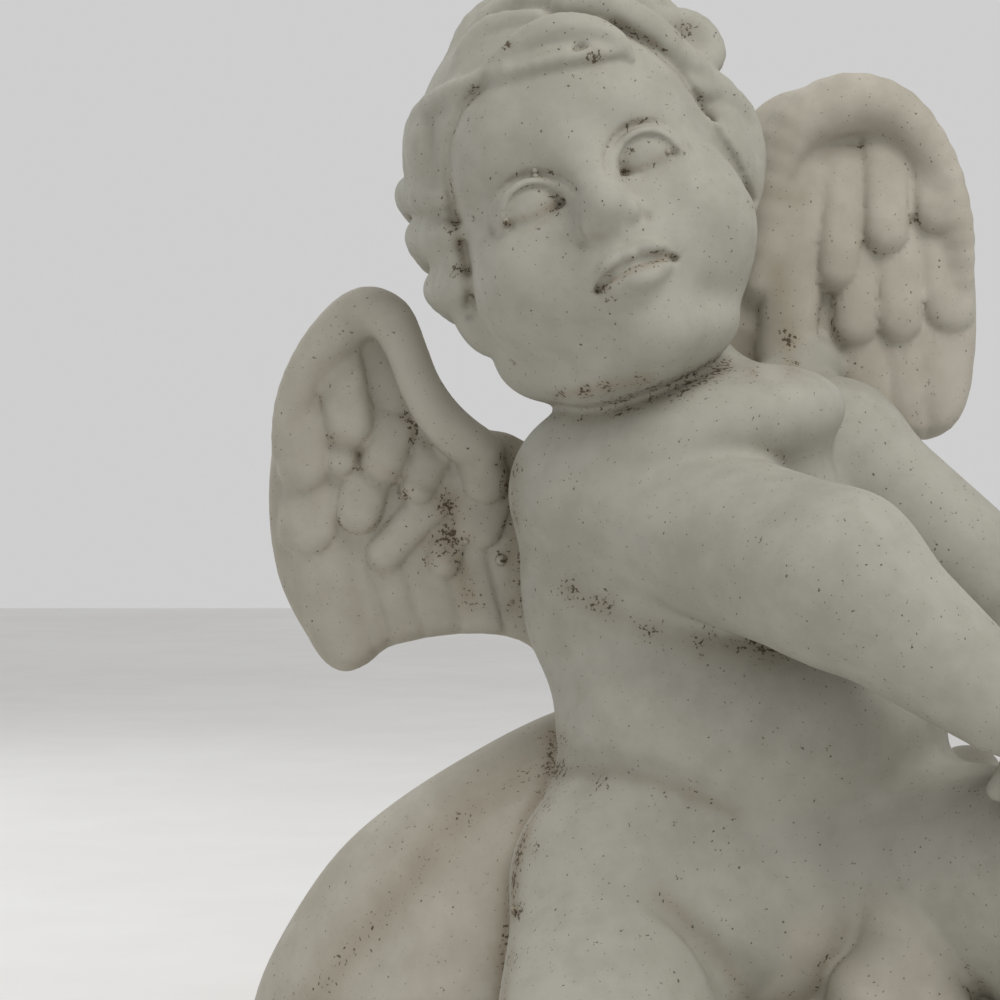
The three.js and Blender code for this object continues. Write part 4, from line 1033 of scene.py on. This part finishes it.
def makeGroup(name, inputs, outputs):
    tree = bpy.data.node_groups.new(name, "ShaderNodeTree")
    for label, kind, value in inputs:
        socket = tree.interface.new_socket(label, in_out="INPUT", socket_type=kind)
        if value is not None:
            socket.default_value = value
    for label, kind in outputs:
        tree.interface.new_socket(label, in_out="OUTPUT", socket_type=kind)
    return tree, tree.nodes.new("NodeGroupInput"), tree.nodes.new("NodeGroupOutput")


def mathNode(tree, operation, a, b=None, clamp=False):
    out = node(tree, "ShaderNodeMath", {"operation": operation, "use_clamp": clamp}, i0=a)
    if b is not None:
        feed(tree, out.inputs[1], b)
    return out.outputs[0]


def times(tree, a, b):
    return mathNode(tree, "MULTIPLY", a, b)


def plus(tree, a, b, clamp=False):
    return mathNode(tree, "ADD", a, b, clamp)


def noise(tree, where, scale, detail, roughness):
    out = node(tree, "ShaderNodeTexNoise", None, Vector=where, Scale=scale, Detail=detail,
               Roughness=roughness)
    return out.outputs[0]


def mixColour(tree, factor, a, b, blendType="MIX"):
    out = node(tree, "ShaderNodeMix", {"data_type": "RGBA", "blend_type": blendType}, i0=factor, i6=a, i7=b)
    return out.outputs[2]


def ramp(tree, value, low, high):
    out = node(tree, "ShaderNodeMapRange", {"interpolation_type": "SMOOTHSTEP"}, i0=value, i1=low, i2=high)
    return out.outputs[0]


# slow and middling patches of two tones
def mottleGroup():
    tree, given, out = makeGroup("mottle", [
        ("Vector", "NodeSocketVector", None), ("Tone A", "NodeSocketColor", (0.4, 0.4, 0.4, 1)),
        ("Tone B", "NodeSocketColor", (0.5, 0.5, 0.5, 1)), ("Patch Size", "NodeSocketFloat", 20.0),
    ], [("Color", "NodeSocketColor")])
    where, toneA, toneB, size = given.outputs[:4]
    broad = noise(tree, where, size, 3.0, 0.55)
    fine = noise(tree, where, times(tree, size, 6.5), 4.0, 0.6)
    both = plus(tree, times(tree, broad, 0.65), times(tree, fine, 0.35))
    tree.links.new(mixColour(tree, ramp(tree, both, 0.36, 0.64), toneA, toneB), out.inputs[0])
    return tree


# speckled dirt with painted shade: a brown film where the surface is shut in, at the spots and along the
# stains, and dark grains that gather there
def dirtAndShadeGroup():
    tree, given, out = makeGroup("dirtAndPaintedShade", [
        ("Vector", "NodeSocketVector", None), ("Shut", "NodeSocketFloat", 0.0),
        ("Spots", "NodeSocketFloat", 0.0), ("Stain", "NodeSocketFloat", 0.0),
        ("Grain Size", "NodeSocketFloat", 900.0),
    ], [("DirtShadeFilm", "NodeSocketFloat"), ("Grains", "NodeSocketFloat")])
    where, closeness, spots, stainAndShade, size = given.outputs[:5]
    patch = noise(tree, where, 45.0, 4.0, 0.6)
    grain = noise(tree, where, size, 2.0, 0.6)
    shut = ramp(tree, closeness, 0.12, 0.6)
    closed = times(tree, shut, ramp(tree, patch, 0.38, 0.62))
    gatheredDirtAndShade = mathNode(tree, "MAXIMUM", times(tree, closed, 0.66), spots)
    heavy = times(tree, mathNode(tree, "POWER", stainAndShade, 2.5), ramp(tree, patch, 0.30, 0.60))
    gatheredDirtAndShade = mathNode(tree, "MAXIMUM", gatheredDirtAndShade, heavy)
    # the film darkens shut-in places: painted shade, and grime with it
    dirtShadeFilm = plus(tree, times(tree, shut, 0.12), times(tree, gatheredDirtAndShade, 0.4))
    dirtShadeFilm = plus(tree, dirtShadeFilm, times(tree, stainAndShade, 0.5), clamp=True)
    tree.links.new(dirtShadeFilm, out.inputs[0])
    level = plus(tree, grain, times(tree, gatheredDirtAndShade, 0.27))
    tree.links.new(ramp(tree, level, 0.67, 0.75), out.inputs[1])
    return tree


# pinholes and stray specks over the whole surface
def poreGroup():
    tree, given, out = makeGroup("pinholes", [
        ("Vector", "NodeSocketVector", None), ("Scale", "NodeSocketFloat", 260.0),
        ("Radius", "NodeSocketFloat", 0.12), ("Share", "NodeSocketFloat", 0.2),
    ], [("Mask", "NodeSocketFloat")])
    where, scale, radius, share = given.outputs[:4]
    cells = node(tree, "ShaderNodeTexVoronoi", None, Vector=where, Scale=scale, Randomness=1.0)
    apart = node(tree, "ShaderNodeSeparateColor", None, i0=cells.outputs["Color"])
    chosen = mathNode(tree, "LESS_THAN", apart.outputs[0], share)
    size = times(tree, radius, plus(tree, apart.outputs[1], 0.5))
    reach = mathNode(tree, "DIVIDE", cells.outputs["Distance"], size)
    hole = mathNode(tree, "SUBTRACT", 1.0, reach, clamp=True)
    tree.links.new(times(tree, chosen, ramp(tree, hole, 0.0, 0.5)), out.inputs[0])
    return tree


# fine sandy grain of a rubbed casting
def grainGroup():
    tree, given, out = makeGroup("sandyGrain", [
        ("Vector", "NodeSocketVector", None), ("Scale", "NodeSocketFloat", 700.0),
    ], [("Height", "NodeSocketFloat")])
    where, scale = given.outputs[:2]
    fine = noise(tree, where, scale, 3.0, 0.65)
    soft = noise(tree, where, times(tree, scale, 0.16), 2.0, 0.5)
    tree.links.new(plus(tree, times(tree, fine, 0.5), soft), out.inputs[0])
    return tree


groups = {"mottle": mottleGroup(), "dirtAndShade": dirtAndShadeGroup(), "pores": poreGroup(), "grain": grainGroup()}


def place(tree, name, **inputs):
    out = tree.nodes.new("ShaderNodeGroup")
    out.node_tree = groups[name]
    for label, value in inputs.items():
        feed(tree, out.inputs[label.replace("_", " ")], value)
    return out


stone = {
    "skinA": (0.335, 0.325, 0.275, 1), "skinB": (0.405, 0.393, 0.34, 1),
    "clothA": (0.375, 0.348, 0.287, 1), "clothB": (0.465, 0.438, 0.372, 1),
    "dirtShadeFilm": (0.25, 0.20, 0.135, 1), "grains": (0.06, 0.04, 0.022, 1), "pore": (0.10, 0.08, 0.055, 1),
    "skinPatch": 26.0, "clothPatch": 18.0, "bump": 0.25, "roughness": 0.72, "specular": 0.3,
}


def makeStone():
    material = bpy.data.materials.new("castStone")
    material.use_nodes = True
    tree = material.node_tree
    shader = tree.nodes["Principled BSDF"]
    where = node(tree, "ShaderNodeTexCoord").outputs["Object"]
    marks = {}
    for name in ("shut", "spots", "stainAndShade", "warm"):
        marks[name] = node(tree, "ShaderNodeAttribute", {"attribute_name": name}).outputs["Fac"]
    skin, cloth = [place(tree, "mottle", Vector=where, Tone_A=stone[name + "A"], Tone_B=stone[name + "B"],
                         Patch_Size=stone[name + "Patch"]) for name in ("skin", "cloth")]
    dirtAndShade = place(tree, "dirtAndShade", Vector=where, Shut=marks["shut"], Spots=marks["spots"], Stain=marks["stainAndShade"],
                 Grain_Size=950.0)
    pores = place(tree, "pores", Vector=where, Scale=300.0, Radius=0.085, Share=0.3)
    grain = place(tree, "grain", Vector=where, Scale=800.0)
    colour = mixColour(tree, marks["warm"], skin.outputs[0], cloth.outputs[0])
    # brown film: painted shade in creases, folds and corners, and dirt
    colour = mixColour(tree, dirtAndShade.outputs["DirtShadeFilm"], colour, stone["dirtShadeFilm"])
    colour = mixColour(tree, times(tree, dirtAndShade.outputs["Grains"], 0.85), colour, stone["grains"])
    colour = mixColour(tree, times(tree, pores.outputs[0], 0.8), colour, stone["pore"])
    tree.links.new(colour, shader.inputs["Base Color"])
    rough = plus(tree, times(tree, grain.outputs[0], 0.12), stone["roughness"])
    rough = plus(tree, rough, times(tree, dirtAndShade.outputs["DirtShadeFilm"], 0.12), clamp=True)
    tree.links.new(rough, shader.inputs["Roughness"])
    shader.inputs["Specular IOR Level"].default_value = stone["specular"]
    height = mathNode(tree, "SUBTRACT", times(tree, grain.outputs[0], 0.6), pores.outputs[0])
    height = plus(tree, height, times(tree, dirtAndShade.outputs["Grains"], 0.3))
    bump = node(tree, "ShaderNodeBump", None, Strength=stone["bump"], Distance=0.0004, Height=height)
    tree.links.new(bump.outputs[0], shader.inputs["Normal"])
    return material


studio = {
    "floor": 4.0, "floorA": (0.80, 0.79, 0.77, 1), "floorB": (0.84, 0.835, 0.82, 1),
    "sky": (1.0, 1.0, 1.0, 1), "skyStrength": 0.62,
    "key": {"at": (0.30, -0.50, 1.0), "size": 0.45, "power": 4.3, "colour": (1.0, 0.985, 0.955)},
    "fill": {"at": (-0.9, 0.9, 0.9), "size": 0.9, "power": 5.0, "colour": (0.97, 0.985, 1.0)},
}


def makeFloor():
    material = bpy.data.materials.new("paleFloor")
    material.use_nodes = True
    tree = material.node_tree
    shader = tree.nodes["Principled BSDF"]
    where = node(tree, "ShaderNodeTexCoord").outputs["Object"]
    tone = place(tree, "mottle", Vector=where, Tone_A=studio["floorA"], Tone_B=studio["floorB"],
                 Patch_Size=2.0)
    grain = place(tree, "grain", Vector=where, Scale=300.0)
    bump = node(tree, "ShaderNodeBump", None, Strength=0.05, Distance=0.0005, Height=grain.outputs[0])
    tree.links.new(tone.outputs[0], shader.inputs["Base Color"])
    tree.links.new(bump.outputs[0], shader.inputs["Normal"])
    shader.inputs["Roughness"].default_value = 0.75
    r = studio["floor"]
    corners = np.array([(-r, -r, 0), (r, -r, 0), (r, r, 0), (-r, r, 0)], np.float32)
    floor = bpy.data.objects.new("floor", makeMesh("floor", corners, np.array([[0, 1, 2, 3]])))
    floor.data.materials.append(material)
    bpy.context.scene.collection.objects.link(floor)
    return floor


def makeLight(name, light):
    data = bpy.data.lights.new(name, "AREA")
    data.size = light["size"]
    data.energy = light["power"]
    data.color = light["colour"]
    obj = bpy.data.objects.new(name, data)
    obj.location = light["at"]
    obj.rotation_mode = "QUATERNION"
    obj.rotation_quaternion = (Vector((0, 0, 0.2)) - Vector(light["at"])).to_track_quat("-Z", "Y")
    bpy.context.scene.collection.objects.link(obj)


def makeCamera():
    data = bpy.data.cameras.new("photograph")
    data.sensor_width = 36.0
    data.lens = data.sensor_width * camera["distance"] / (camera["pixel"] * 1000)
    obj = bpy.data.objects.new("photograph", data)
    x, y, z = statue["centring"]
    obj.location = ((camera["x"] + x) / 1000, (y - camera["distance"]) / 1000, (camera["z"] + z) / 1000)
    obj.rotation_euler = (math.radians(90), 0, 0)
    bpy.context.scene.collection.objects.link(obj)
    bpy.context.scene.camera = obj


makeCamera()
print("camera ready")
surface = makePutto(makeStone())
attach(surface, "root")
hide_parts("putto")
makeFloor()
makeLight("key", studio["key"])
makeLight("fill", studio["fill"])
world = bpy.data.worlds.new("studio")
world.use_nodes = True
world.node_tree.nodes["Background"].inputs["Color"].default_value = studio["sky"]
world.node_tree.nodes["Background"].inputs["Strength"].default_value = studio["skyStrength"]
bpy.context.scene.world = world
bpy.context.scene.view_settings.view_transform = "Standard"
print("studio ready")
